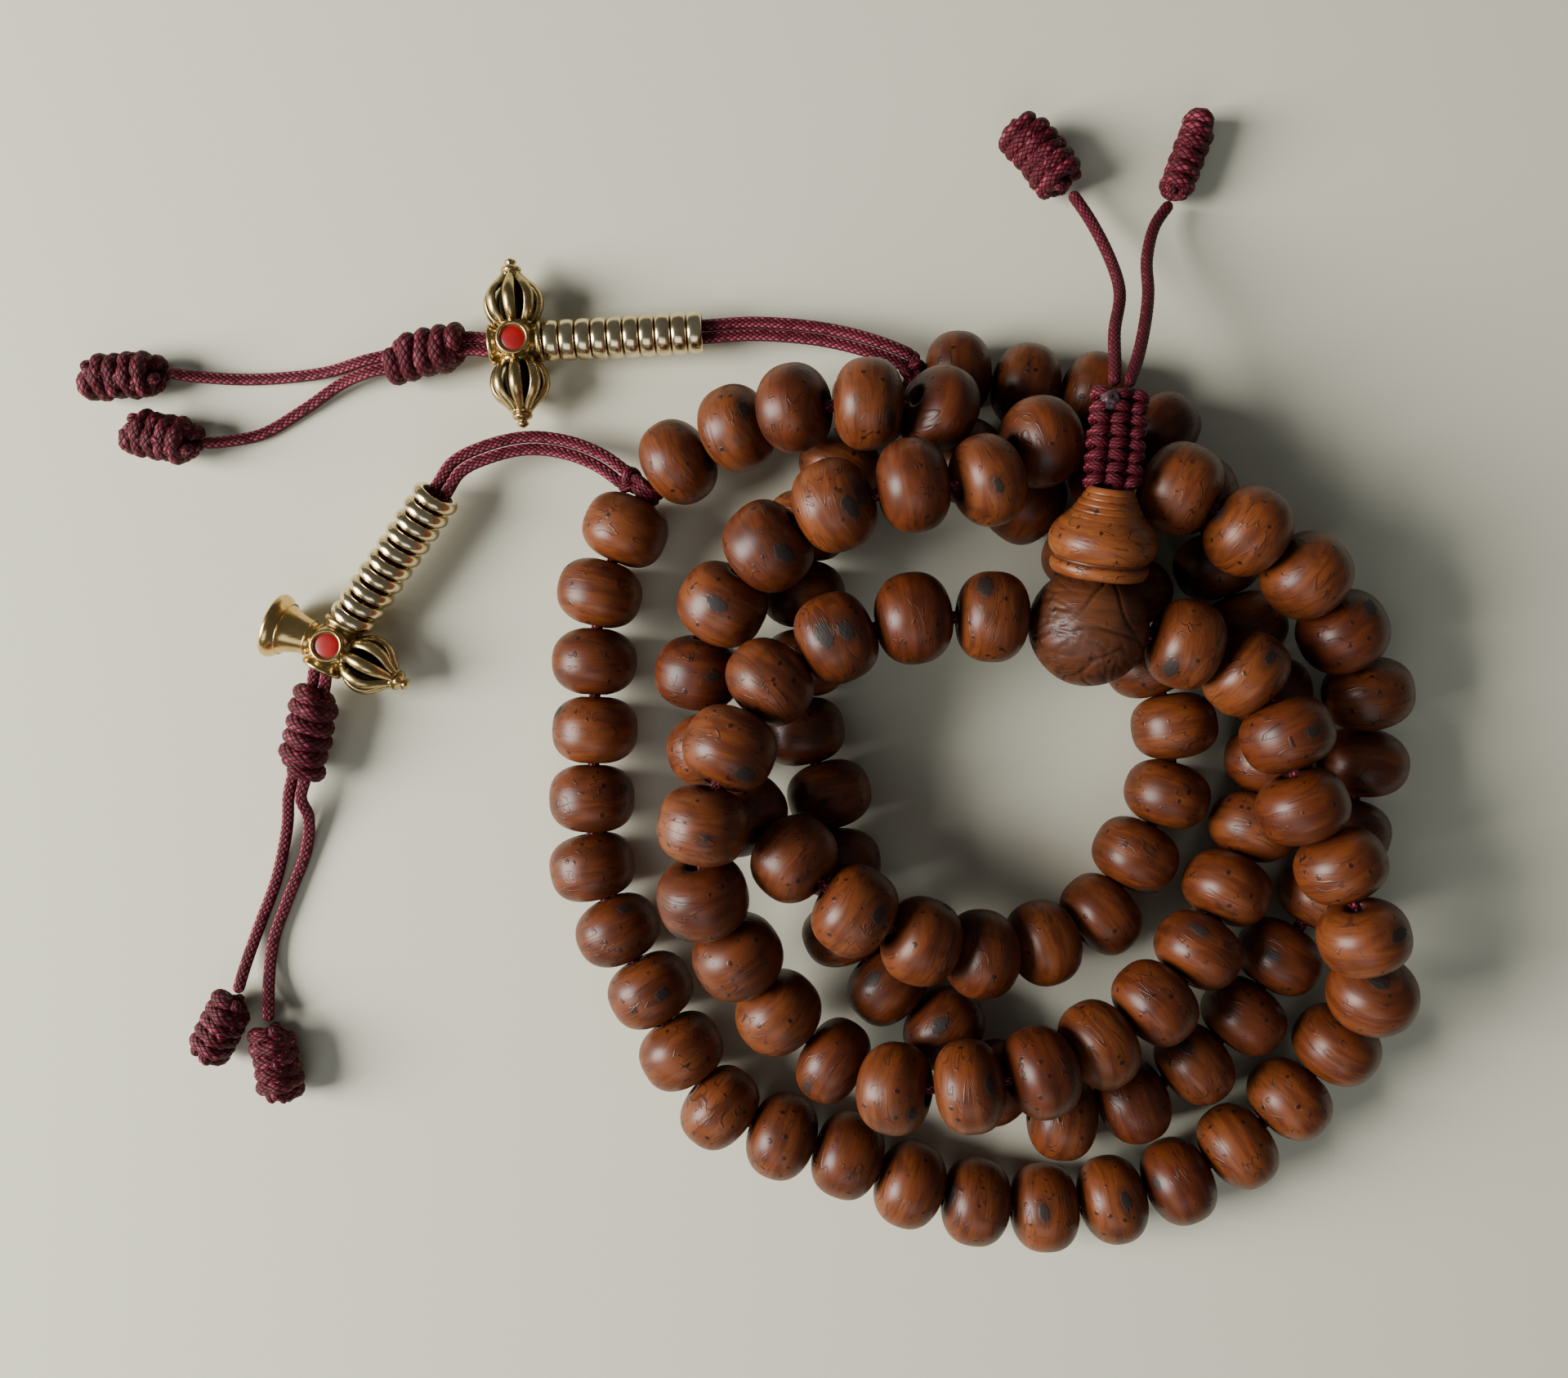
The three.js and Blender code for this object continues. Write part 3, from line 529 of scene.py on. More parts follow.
def cord_material(name, base, shade, fleck, fleck_share):
    """Braided polyester cord: a diamond lattice of stitches, with paler ones in every fourth row."""
    g = Graph(name)
    node = g.nodes.new("ShaderNodeUVMap")
    node.uv_map = "weave"
    split = g.nodes.new("ShaderNodeSeparateXYZ")
    g.link(node.outputs["UV"], split.inputs[0])
    around = g.math("MULTIPLY", split.outputs[0], STITCHES)
    one = g.math("ADD", around, split.outputs[1])
    two = g.math("SUBTRACT", around, split.outputs[1])
    arch_one = g.math("ABSOLUTE", g.math("SINE", g.math("MULTIPLY", one, math.pi)))
    arch_two = g.math("ABSOLUTE", g.math("SINE", g.math("MULTIPLY", two, math.pi)))
    stitch = g.math("POWER", g.math("MULTIPLY", arch_one, arch_two), 0.5)
    cell = g.nodes.new("ShaderNodeCombineXYZ")
    g.link(g.math("FLOOR", one), cell.inputs[0])
    g.link(g.math("FLOOR", two), cell.inputs[1])
    chance = g.nodes.new("ShaderNodeTexWhiteNoise")
    chance.noise_dimensions = "2D"
    g.link(cell.outputs[0], chance.inputs["Vector"])
    value = chance.outputs["Value"]
    fibres = g.math("SINE", g.math("MULTIPLY", one, 26.0))
    worn = g.noise(g.scaled(node.outputs["UV"], (3.0, 0.35, 1.0)), 1.0, 3)
    colour = g.mix(g.step(stitch, 0.15, 0.8), shade, base)
    colour = g.mix(g.math("MULTIPLY", worn, 0.35), colour, shade)
    column = g.math("FLOORED_MODULO", g.math("ADD", g.math("FLOOR", one), g.math("FLOOR", two)), 4.0)
    pale = g.math("MULTIPLY", g.step(column, 1.4, 0.6), g.step(value, 0.9 - fleck_share, 1.0 - fleck_share))
    pale = g.math("MULTIPLY", pale, g.step(stitch, 0.3, 0.8))
    colour = g.mix(g.math("MULTIPLY", pale, 0.85), colour, fleck)
    height = g.math("ADD", stitch, g.math("MULTIPLY", fibres, 0.08))
    g.bump(height, 0.8, 0.00016)
    g.set(Base_Color=colour, Roughness=0.55)
    g.surface.inputs["Specular IOR Level"].default_value = 0.22
    return g.material


def metal_material(name, bright, worn, tarnish_and_painted_shade, roughness, scale):
    """Cast brass: polished where it is handled, and dark where "recess" is high: partly tarnish, partly
    painted shade between stacked rings, in bores, under ribs and inside the bell.
    """
    g = Graph(name)
    coords = g.nodes.new("ShaderNodeTexCoord").outputs["Object"]
    recess = g.attribute("recess")
    cloud = g.noise(coords, scale, 4, 0.4)
    scratch = g.noise(g.scaled(coords, (1.0, 6.0, 1.0)), scale * 2.5, 3)
    colour = g.mix(g.step(cloud, 0.35, 0.68), bright, worn)
    patches = g.math("MULTIPLY", g.math("SUBTRACT", cloud, 0.5), 0.5)
    # tarnish and painted shade where recess is high, broken up by random patches
    tarnish_and_shade_mask = g.step(g.math("ADD", recess, patches), 0.45, 0.95)
    colour = g.mix(tarnish_and_shade_mask, colour, tarnish_and_painted_shade)
    rough = g.between(scratch, roughness * 0.75, roughness * 1.35)
    rough = g.math("ADD", rough, g.math("MULTIPLY", tarnish_and_shade_mask, 0.35))
    g.bump(g.math("ADD", scratch, cloud), 0.12, 0.00008)
    g.set(Base_Color=colour, Roughness=rough)
    g.surface.inputs["Metallic"].default_value = 1.0
    return g.material


def enamel_material():
    g = Graph("enamel")
    coords = g.nodes.new("ShaderNodeTexCoord").outputs["Object"]
    cloud = g.noise(coords, 900.0, 3, 0.3)
    specks, _ = g.voronoi(coords, 2600.0)
    colour = g.mix(g.step(cloud, 0.35, 0.7), (0.34, 0.002, 0.002), (0.22, 0.001, 0.002))
    colour = g.mix(g.math("MULTIPLY", g.step(specks, 0.12, 0.04), 0.4), colour, (0.14, 0.002, 0.003))
    g.bump(cloud, 0.1, 0.00005)
    g.set(Base_Color=colour, Roughness=g.between(cloud, 0.30, 0.46), Coat_Weight=0.08, Coat_Roughness=0.1)
    return g.material


def burnt_material():
    g = Graph("burnt_cord")
    coords = g.nodes.new("ShaderNodeTexCoord").outputs["Object"]
    cloud = g.noise(coords, 1500.0, 4, 0.5)
    colour = g.mix(g.step(cloud, 0.42, 0.62), (0.022, 0.018, 0.022), (0.11, 0.03, 0.045))
    g.bump(cloud, 0.5, 0.0002)
    g.set(Base_Color=colour, Roughness=g.between(cloud, 0.35, 0.6))
    return g.material


def floor_material():
    g = Graph("floor")
    coords = g.nodes.new("ShaderNodeTexCoord").outputs["Object"]
    broad = g.noise(coords, 4.0, 2)
    colour = g.mix(broad, (0.66, 0.645, 0.505), (0.71, 0.695, 0.55))
    g.set(Base_Color=colour, Roughness=0.75)
    return g.material


BEAD_WOOD = wood_material(
    "bead_wood", (0.160, 0.042, 0.0095), (0.096, 0.022, 0.0055), (0.036, 0.008, 0.003), 0.16, 0.39,
)
GURU_WOOD = wood_material(
    "guru_wood", (0.125, 0.041, 0.014), (0.088, 0.027, 0.009), (0.04, 0.012, 0.006), 0.0, 0.44,
)
TOWER_WOOD = wood_material(
    "tower_wood", (0.22, 0.066, 0.016), (0.15, 0.039, 0.010), (0.07, 0.017, 0.006), 0.02, 0.38,
)
CORD = cord_material(
    "cord", (0.135, 0.004, 0.016), (0.010, 0.001, 0.002), (0.46, 0.075, 0.125), 0.80,
)
PLAIN_CORD = cord_material(
    "tail_cord", (0.105, 0.004, 0.014), (0.030, 0.001, 0.004), (0.20, 0.025, 0.045), 0.30,
)
KNOT_CORD = cord_material(
    "knot_cord", (0.110, 0.003, 0.013), (0.010, 0.001, 0.002), (0.30, 0.038, 0.070), 0.45,
)
BURNT = burnt_material()
PALE_BRASS = metal_material(
    "pale_brass", (0.82, 0.69, 0.44), (0.68, 0.54, 0.30), (0.05, 0.035, 0.018), 0.19, 700.0,
)
OLD_BRASS = metal_material(
    "old_brass", (0.62, 0.46, 0.21), (0.42, 0.30, 0.13), (0.022, 0.015, 0.008), 0.26, 500.0,
)
BELL_BRASS = metal_material(
    "bell_brass", (0.72, 0.50, 0.20), (0.52, 0.35, 0.13), (0.04, 0.026, 0.012), 0.23, 400.0,
)
ENAMEL = enamel_material()

# ---------------------------------------------------------------- meshes


def make_piece(name, places, faces, material, body, replaced=(), slot=None, values=None, weave=None):
    """One piece from places in millimetres. values: name -> one number or vector for each vertex."""
    mesh = bpy.data.meshes.new(name)
    mesh.from_pydata((np.asarray(places, float) * MM).tolist(), [], faces)
    mesh.validate()
    for key, data in (values or {}).items():
        data = np.asarray(data, float)
        kind = "FLOAT_VECTOR" if data.ndim == 2 else "FLOAT"
        layer = mesh.attributes.new(key, kind, "POINT")
        layer.data.foreach_set("vector" if data.ndim == 2 else "value", data.ravel())
    if weave is not None:
        layer = mesh.uv_layers.new(name="weave")
        layer.data.foreach_set("uv", np.asarray(weave, float).ravel())
    mesh.shade_smooth()
    mesh.materials.append(material)
    piece = bpy.data.objects.new(name, mesh)
    scene.collection.objects.link(piece)
    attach(piece, body)
    if replaced:
        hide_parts(*replaced)
    return piece


def axes_along(direction):
    side = Vector((0, 0, 1)).cross(direction)
    side = side.normalized() if side.length > 1e-6 else Vector((1, 0, 0))
    return side, direction, side.cross(direction)


def outward(side, down, angle):
    """The direction at an angle about an axis, from the two directions across it."""
    return side * math.cos(angle) - down * math.sin(angle)


class Shape:
    """Vertices and faces gathered from several closed surfaces, with what the materials read."""

    def __init__(self):
        self.places, self.faces, self.weave, self.recess = [], [], [], []

    def grid(self, rings, closed_rows, weave=None, recess=0.0):
        """Rings of equally many points; closed_rows joins the last ring to the first, or else
        each end is closed by a fan around its middle."""
        rings = [list(ring) for ring in rings]
        rows, sides, start = len(rings), len(rings[0]), len(self.places)
        for i, ring in enumerate(rings):
            self.places += [tuple(p) for p in ring]
            level = recess[i] if isinstance(recess, (list, tuple)) else recess
            self.recess += [level] * sides if not isinstance(level, (list, tuple)) else list(level)
        for i in range(rows if closed_rows else rows - 1):
            a, b = start + i * sides, start + ((i + 1) % rows) * sides
            for j in range(sides):
                k = (j + 1) % sides
                self.faces.append((a + j, a + k, b + k, b + j))
                if weave:
                    v0, v1 = weave[i], weave[(i + 1) % rows]
                    u0, u1 = j / sides, (j + 1) / sides
                    self.weave += [(u0, v0), (u1, v0), (u1, v1), (u0, v1)]
        if not closed_rows:
            for row, turned_over in ((0, True), (rows - 1, False)):
                middle = len(self.places)
                self.places.append(tuple(np.mean([tuple(p) for p in rings[row]], axis=0)))
                self.recess.append(self.recess[start + row * sides])
                base = start + row * sides
                for j in range(sides):
                    k = (j + 1) % sides
                    first, second = (base + k, base + j) if turned_over else (base + j, base + k)
                    self.faces.append((first, second, middle))
                    if weave:
                        v = weave[row]
                        self.weave += [(j / sides, v), ((j + 1) / sides, v), ((j + 0.5) / sides, v + 0.5)]
        return self

    def turn(self, start, direction, profile, sides, closed_rows=False, recess=0.0, wobble=None):
        """A profile of (radius, height) turned about a direction."""
        side, direction, down = axes_along(direction)
        rings = []
        for radius, height in profile:
            ring = []
            for j in range(sides):
                angle = TAU * j / sides
                reach = radius * (wobble(angle, height) if wobble else 1)
                ring.append(start + direction * height + outward(side, down, angle) * reach)
            rings.append(ring)
        return self.grid(rings, closed_rows, recess=recess)

    def braid(self, path, radius, sides=16, step=0.2, bumps=0.05, swell=None):
        """Braided cord along a path, with a low relief of its stitches and round ends."""
        line = resample(path, step)
        frames = moving_frames(line)
        rings, weave, length = [], [], 0.0
        last = len(line) - 1
        for i, place in enumerate(line):
            if i:
                length += (place - line[i - 1]).length
            v = length / STITCH_LENGTH
            side, up = frames[i]
            ends = min(i, last - i) * step / radius
            cap = math.sqrt(max(0.05, 1 - (1 - min(1, ends)) ** 2))
            size = radius * cap * (swell(length) if swell else 1)
            ring = []
            for j in range(sides):
                turn = j / sides
                around = STITCHES * turn
                arch = abs(math.sin(math.pi * (around + v)) * math.sin(math.pi * (around - v)))
                reach = size * (1 - bumps + bumps * math.sqrt(arch))
                ring.append(place + outward(side, -up, TAU * turn) * reach)
            rings.append(ring)
            weave.append(v)
        return self.grid(rings, False, weave=weave)

    def piece(self, name, material, body, replaced=(), slot=None):
        looks = {"weave": self.weave} if self.weave else {"values": {"recess": self.recess}}
        return make_piece(name, self.places, self.faces, material, body, replaced, slot, **looks)


def resample(path, step):
    """The same polyline with points a step apart, counted along it."""
    places = np.array([tuple(p) for p in path])
    lengths = np.concatenate([[0], np.cumsum(np.linalg.norm(np.diff(places, axis=0), axis=1))])
    count = max(4, int(round(lengths[-1] / step)))
    at = np.linspace(0, lengths[-1], count + 1)
    return [Vector([np.interp(x, lengths, places[:, k]) for k in range(3)]) for x in at]


def moving_frames(line):
    """Two directions across the path at each point, turned as little as possible on the way."""
    last = len(line) - 1
    tangents = [(line[min(i + 1, last)] - line[max(i - 1, 0)]).normalized() for i in range(last + 1)]
    side = tangents[0].cross(Vector((0.1, 0.2, 1))).normalized()
    frames = []
    for tangent in tangents:
        side = (side - tangent * side.dot(tangent)).normalized()
        frames.append((side, tangent.cross(side)))
    return frames


def smooth_route(points, per_span=12):
    """A curve through the points: centripetal Catmull-Rom, as in the CAD part."""
    ends = [points[0] * 2 - points[1], points[-1] * 2 - points[-2]]
    known = [ends[0], *points, ends[1]]
    result = []
    for i in range(1, len(known) - 2):
        p0, p1, p2, p3 = known[i - 1 : i + 3]
        d0, d1, d2 = [max(1e-4, (b - a).length ** 0.5) for a, b in ((p0, p1), (p1, p2), (p2, p3))]
        t1 = ((p1 - p0) / d0 - (p2 - p0) / (d0 + d1) + (p2 - p1) / d1) * d1
        t2 = ((p2 - p1) / d1 - (p3 - p1) / (d1 + d2) + (p3 - p2) / d2) * d1
        for k in range(per_span):
            t = k / per_span
            result.append(
                p1 * (2 * t**3 - 3 * t**2 + 1) + t1 * (t**3 - 2 * t**2 + t)
                + p2 * (3 * t**2 - 2 * t**3) + t2 * (t**3 - t**2)
            )
    return [*result, points[-1].copy()]


# ---------------------------------------------------------------- the cords


def shared_route(counter):
    charm, ring_axis = counter["charm"], counter["ring_axis"]
    stack_end = BARREL_HALF + GAP + RING_COUNT * RING_PITCH
    knot_start, knot_end = counter["slide_knot"]
    knot_axis = unit([b - a for a, b in zip(knot_start, knot_end)])
    in_stack = [stack_end + counter["travel"], stack_end, stack_end / 2, BARREL_HALF + GAP]
    return [
        *counter["from_hitch"],
        *[along(charm, ring_axis, distance) for distance in in_stack],
        charm,
        along(charm, counter["barrel_axis"], -BARREL_HALF),
        knot_start,
        knot_end,
        along(knot_end, knot_axis, 2.2),
    ]


def beside(route, offset):
    result = []
    for i, place in enumerate(route):
        a, b = route[max(i - 1, 0)], route[min(i + 1, len(route) - 1)]
        across = unit((-(b[1] - a[1]), b[0] - a[0], 0))
        result.append(along(place, across, offset))
    return result


def add_cord(name, path, node):
    """A free cord, seen along one path."""
    shape = Shape().braid(path, STRAND_RADIUS)
    material = PLAIN_CORD if "tail" in name else CORD
    piece = shape.piece(name, material, "loop", [node], "cord")


def helix(start, end, radius, cord, turns, lean=0.0, phase=0.0, ends=0.25):
    """The line of a cord wound from start to end, with both ends tucked in towards the axis."""
    axis = (end - start).normalized()
    side, _, down = axes_along(axis)
    length = (end - start).length - 2 * cord
    steps = int(turns * 22)
    path = []
    for i in range(steps + 1):
        t = i / steps
        angle = TAU * turns * t + phase
        tuck = min(1, t / 0.07, (1 - t) / 0.07)
        reach = (radius - cord) * (ends + (1 - ends) * math.sin(0.5 * math.pi * tuck))
        rise = cord + length * t + lean * math.cos(angle) * tuck
        path.append(start + axis * rise + outward(side, down, angle) * reach)
    return path


def coiled_knot(name, node, place, turns, burnt=False, cord=0.93, lean=0.35):
    """A knot of several turns around its own cord. Each turn bulges where it crosses the strand below."""
    start, end, radius = vec(place[0]), vec(place[1]), place[2]
    shape = Shape()
    bulge = lambda s: 1 + 0.13 * math.sin(s * 2.3 + len(name)) + 0.05 * math.sin(s * 5.1)
    top = radius - 0.12 * cord
    shape.braid(helix(start, end, top, cord, turns, lean, phase=len(name)), cord, 14, 0.22, 0.1, bulge)
    axis = (end - start).normalized()
    length = (end - start).length
    side, _, down = axes_along(axis)
    for k, angle in enumerate((0.6, 2.5, 4.4)):
        ridge = []
        for i in range(40):
            t = i / 39
            wave = math.sin(t * turns * TAU) * 0.3
            reach = (radius - cord * 1.05) * math.sin(math.pi * (0.06 + 0.88 * t)) ** 0.3
            place_on = start + axis * (length * (0.04 + 0.92 * t))
            turn = angle + wave + 0.9 * t
            ridge.append(place_on + outward(side, down, turn) * reach)
        shape.braid(ridge, cord * 0.8, 12, 0.25, 0.1, lambda s: 1 + 0.15 * math.sin(s * 3.3))
    knot = shape.piece(name, KNOT_CORD, "loop", [node], "cord")
    if burnt:
        add_lump(name + "_burnt_end", end - axis * 1.0 + side * 0.7 - down * 0.5, 1.35, "loop", [node])
    return knot


def add_lump(name, middle, radius, body, replaced):
    """The melted and blackened end of a cord."""
    shape = Shape()
    rings = []
    for i in range(1, 16):
        polar = math.pi * i / 16
        ring = []
        for j in range(24):
            angle = TAU * j / 24
            across = math.sin(polar)
            way = Vector((across * math.cos(angle), across * math.sin(angle), math.cos(polar)))
            reach = radius * (0.86 + 0.3 * noise.noise(way * 1.9 + middle))
            ring.append(middle + Vector((way.x, way.y, way.z * 0.75)) * reach)
        rings.append(ring)
    shape.grid(rings, False)
    return shape.piece(name, BURNT, body, replaced, "cord")


for counter in COUNTERS:
    name = counter["name"]
    shared = shared_route(counter)
    for i, letter in enumerate("ab"):
        offset = STRAND_OFFSET if i else -STRAND_OFFSET
        route = [vec(p) for p in [*beside(shared, offset), *counter["tails"][i]]]
        end_knot = f"{name}_end_knot_{letter}"
        burnt = end_knot == "dorje_end_knot_a"
        knot = coiled_knot("cord_" + end_knot, end_knot, counter["end_knots"][i], 5, burnt=burnt)
        add_cord(f"cord_{name}_{letter}", smooth_route(route), f"{name}_strand_{letter}")

BRAID_END = along(BRAID_START, BRAID_AXIS, BRAID_LENGTH + 2 * GAP)
BRAID_SIDE = unit((-BRAID_AXIS[1], BRAID_AXIS[0], 0))
for i, tail in enumerate(GURU_TAILS):
    letter = "ab"[i]
    start = along(BRAID_END, BRAID_SIDE, -STRAND_OFFSET if i else STRAND_OFFSET)
    knot = coiled_knot("cord_guru_knot_" + letter, "guru_tail_knot_" + letter, tail["knot"], 6)
    route = smooth_route([vec(p) for p in [start, *tail["route"]]])
    add_cord("tail_" + letter, route, "guru_tail_" + letter)


def add_slide_knot(counter):
    """A sliding knot: thick slanted turns around both strands."""
    name = counter["name"]
    start, end = [vec(p) for p in counter["slide_knot"]]
    turns, cord, lean = (4.2, 1.12, 0.75) if name == "dorje" else (5.2, 1.0, 0.55)
    bulge = lambda s: 1 + 0.10 * math.sin(s * 1.7)
    shape = Shape()
    outer = helix(start, end, 2.95, cord, turns, lean, phase=1.0, ends=0.55)
    shape.braid(outer, cord, 16, 0.22, 0.09, bulge)
    thin = cord * 0.85
    inner = helix(start, end, 2.45, thin, turns, lean, phase=1.0 + math.pi, ends=0.6)
    shape.braid(inner, thin, 14, 0.25, 0.09)
    shape.piece(f"cord_{name}_slide_knot", KNOT_CORD, f"{name}_slide_knot", [f"{name}_slide_knot"], "cord")


def add_hitch(counter):
    """The knot that ties a counter to the main cord: a small closed knot with a wrap on each side."""
    name = counter["name"]
    hitches = [i for i, item in enumerate(stations) if item.kind == "hitch"]
    index = next(i for i in hitches if stations[i].home == tuple(counter["hitch"]))
    before, after = face_after(index - 1), face_after(index)
    middle = before.lerp(after, 0.5)
    axis = (after - before).normalized()
    side, _, down = axes_along(axis)
    shape = Shape()
    for shift in (-0.42, 0.42):
        loop = []
        for i in range(41):
            angle = TAU * i / 40
            rise = shift + 0.12 * math.cos(2 * angle)
            loop.append(middle + axis * rise + outward(side, down, angle) * 1.45)
        shape.braid(loop, 0.62, 14, 0.2, 0.09)
    leave = (vec(counter["from_hitch"][0]) - middle).normalized()
    across = leave.cross(Vector((0, 0, 1))).normalized()
    over = across.cross(leave)
    knot_middle = middle + leave * 2.0
    shared = shared_route(counter)
    for offset in (-STRAND_OFFSET, STRAND_OFFSET):
        first, second = [vec(p) for p in beside(shared[:3], offset)[:2]]
        path = [knot_middle, knot_middle.lerp(first, 0.6), first, first.lerp(second, 0.25)]
        shape.braid(smooth_route(path, 6), STRAND_RADIUS + 0.03, 14, 0.2, 0.06)
    size = 1.0
    trefoil = []
    for i in range(73):
        t = TAU * i / 72
        trefoil.append(
            knot_middle
            + across * (size * 0.62 * (math.sin(t) + 2 * math.sin(2 * t)) * 0.62)
            + leave * (size * 0.62 * (math.cos(t) - 2 * math.cos(2 * t)) * 0.62)
            + over * (-0.62 * math.sin(3 * t) + 0.3)
        )
    shape.braid(trefoil, 0.66, 14, 0.2, 0.09)
    shape.piece(f"cord_{name}_hitch", KNOT_CORD, "loop", [f"{name}_hitch"], "cord")


for counter in COUNTERS:
    add_slide_knot(counter)
    add_hitch(counter)


def add_main_cord():
    """The cord that all the beads are strung on; it shows between them and at the hitches."""
    first = (centre_of(1) - vec(GURU)).normalized()
    last = (centre_of(COUNT - 1) - vec(GURU)).normalized()
    places = [vec(GURU) + first * 3.6]
    places += [face_after(i) for i in range(COUNT)][:-1]
    places += [face_after(COUNT - 1), vec(GURU) + last * 3.6]
    shape = Shape().braid(smooth_route(places, 4), STRAND_RADIUS, 12, 0.4, 0.06)
    shape.piece("cord_main", CORD, "loop", ["main_cord"], "cord")


add_main_cord()


def add_braid():
    """The flat knotted braid above the tower: three columns of small knots on both faces."""
    axis = Vector(BRAID_AXIS)
    start = vec(BRAID_START) - axis * (BRAID_BEND + 0.1)
    side, _, down = axes_along(axis)
    up = -down
    shape = Shape()
    rows = 8
    length = BRAID_LENGTH + BRAID_BEND + 0.1
    pitch = length / rows
    for column, across, width, height in ((0, -1.95, 1.0, 1.35), (1, 0.0, 1.25, 1.6), (2, 1.95, 1.0, 1.35)):
        for row in range(rows):
            middle = start + axis * (pitch * (row + 0.5)) + side * across
            slant = 0.22 if (row + column) % 2 else -0.22
            loop = []
            for i in range(29):
                angle = TAU * i / 28
                flat = math.copysign(abs(math.cos(angle)) ** 0.8, math.cos(angle))
                place = middle + side * (width * 0.62 * flat) + up * (height * math.sin(angle))
                loop.append(place + axis * (slant * math.cos(angle)))
            shape.braid(loop, 0.66, 12, 0.22, 0.1, lambda s, r=row: 1 + 0.06 * math.sin(s * 2 + r))
    for across in (-0.98, 0.98):
        path = [start + side * across + axis * (length * t / 24) for t in range(1, 24)]
        shape.braid(path, 1.05, 12, 0.3, 0.08)
    shape.piece("cord_guru_braid", KNOT_CORD, "loop", ["guru_braid"], "cord")
    lump = start + axis * (length - 1.5) + side * 1.3 + up * 1.5
    add_lump("guru_braid_burnt_end", lump, 1.25, "loop", ["guru_braid"])


add_braid()

# ---------------------------------------------------------------- beads

# Beads whose burnt scars show in the photograph: how far right and up of the bead's middle each
# scar lies, in bead radii, and its size. Beads are counted from the guru bead.
SCARS = {
    108: [(-0.25, 0.62, 1.1)],
    107: [],
    106: [(-0.28, 0.02, 1.1), (0.18, 0.12, 0.8)],
    104: [(0.35, -0.5, 0.9)],
    103: [(0.1, -0.2, 0.6)],
    52: [(0.28, -0.15, 0.9), (0.55, 0.1, 0.8)],
    51: [(0.35, -0.25, 0.9)],
    50: [(-0.1, -0.05, 1.0)],
    49: [(0.4, -0.1, 0.7)],
    48: [(0.15, -0.45, 0.9), (0.4, -0.35, 0.8)],
    29: [(0.2, 0.3, 0.7)],
    12: [(0.1, 0.3, 0.8)],
    20: [(0.35, 0.1, 0.8)],
    3: [(0.2, 0.1, 0.8)],
    60: [(0.3, 0.5, 0.9)],
    72: [(-0.4, 0.3, 0.8)],
    93: [(-0.2, 0.6, 0.8)],
    97: [(0.3, 0.3, 0.7)],
}

AROUND = 44
ALONG = 24


def bead_profile(radius, half, bore):
    """Around the section of a bead, outside and back through its hole: (radius, height, painted shade near
    and inside the hole).
    """
    power = 2 / rng.uniform(2.25, 2.6)
    profile = []
    for i in range(ALONG + 1):
        angle = math.pi * (i / ALONG - 0.5)
        reach = radius * abs(math.cos(angle)) ** power
        height = half * math.copysign(abs(math.sin(angle)) ** power, angle)
        if reach > bore * 1.25:
            profile.append((reach, height, max(0.0, 1 - (reach - bore) / 1.5)))
    top = profile[-1][1]
    profile += [(bore * 1.1, top + 0.01, 1.0), (bore, top - 0.25, 1.0), (bore, 0.0, 1.0)]
    profile += [(bore, 0.25 - top, 1.0), (bore * 1.1, -top - 0.01, 1.0)]
    return profile


def room_beside(index):
    """Half the length that a bead has between its neighbours; a bend of the string takes some."""
    centre, before, after = centre_of(index), face_after(index - 1), face_after(index)
    bend = (centre - before).angle(after - centre)
    room = min((centre - before).length, (after - centre).length)
    return room - 0.03 - 4.0 * math.tan(bend / 2) ** 2 / 2


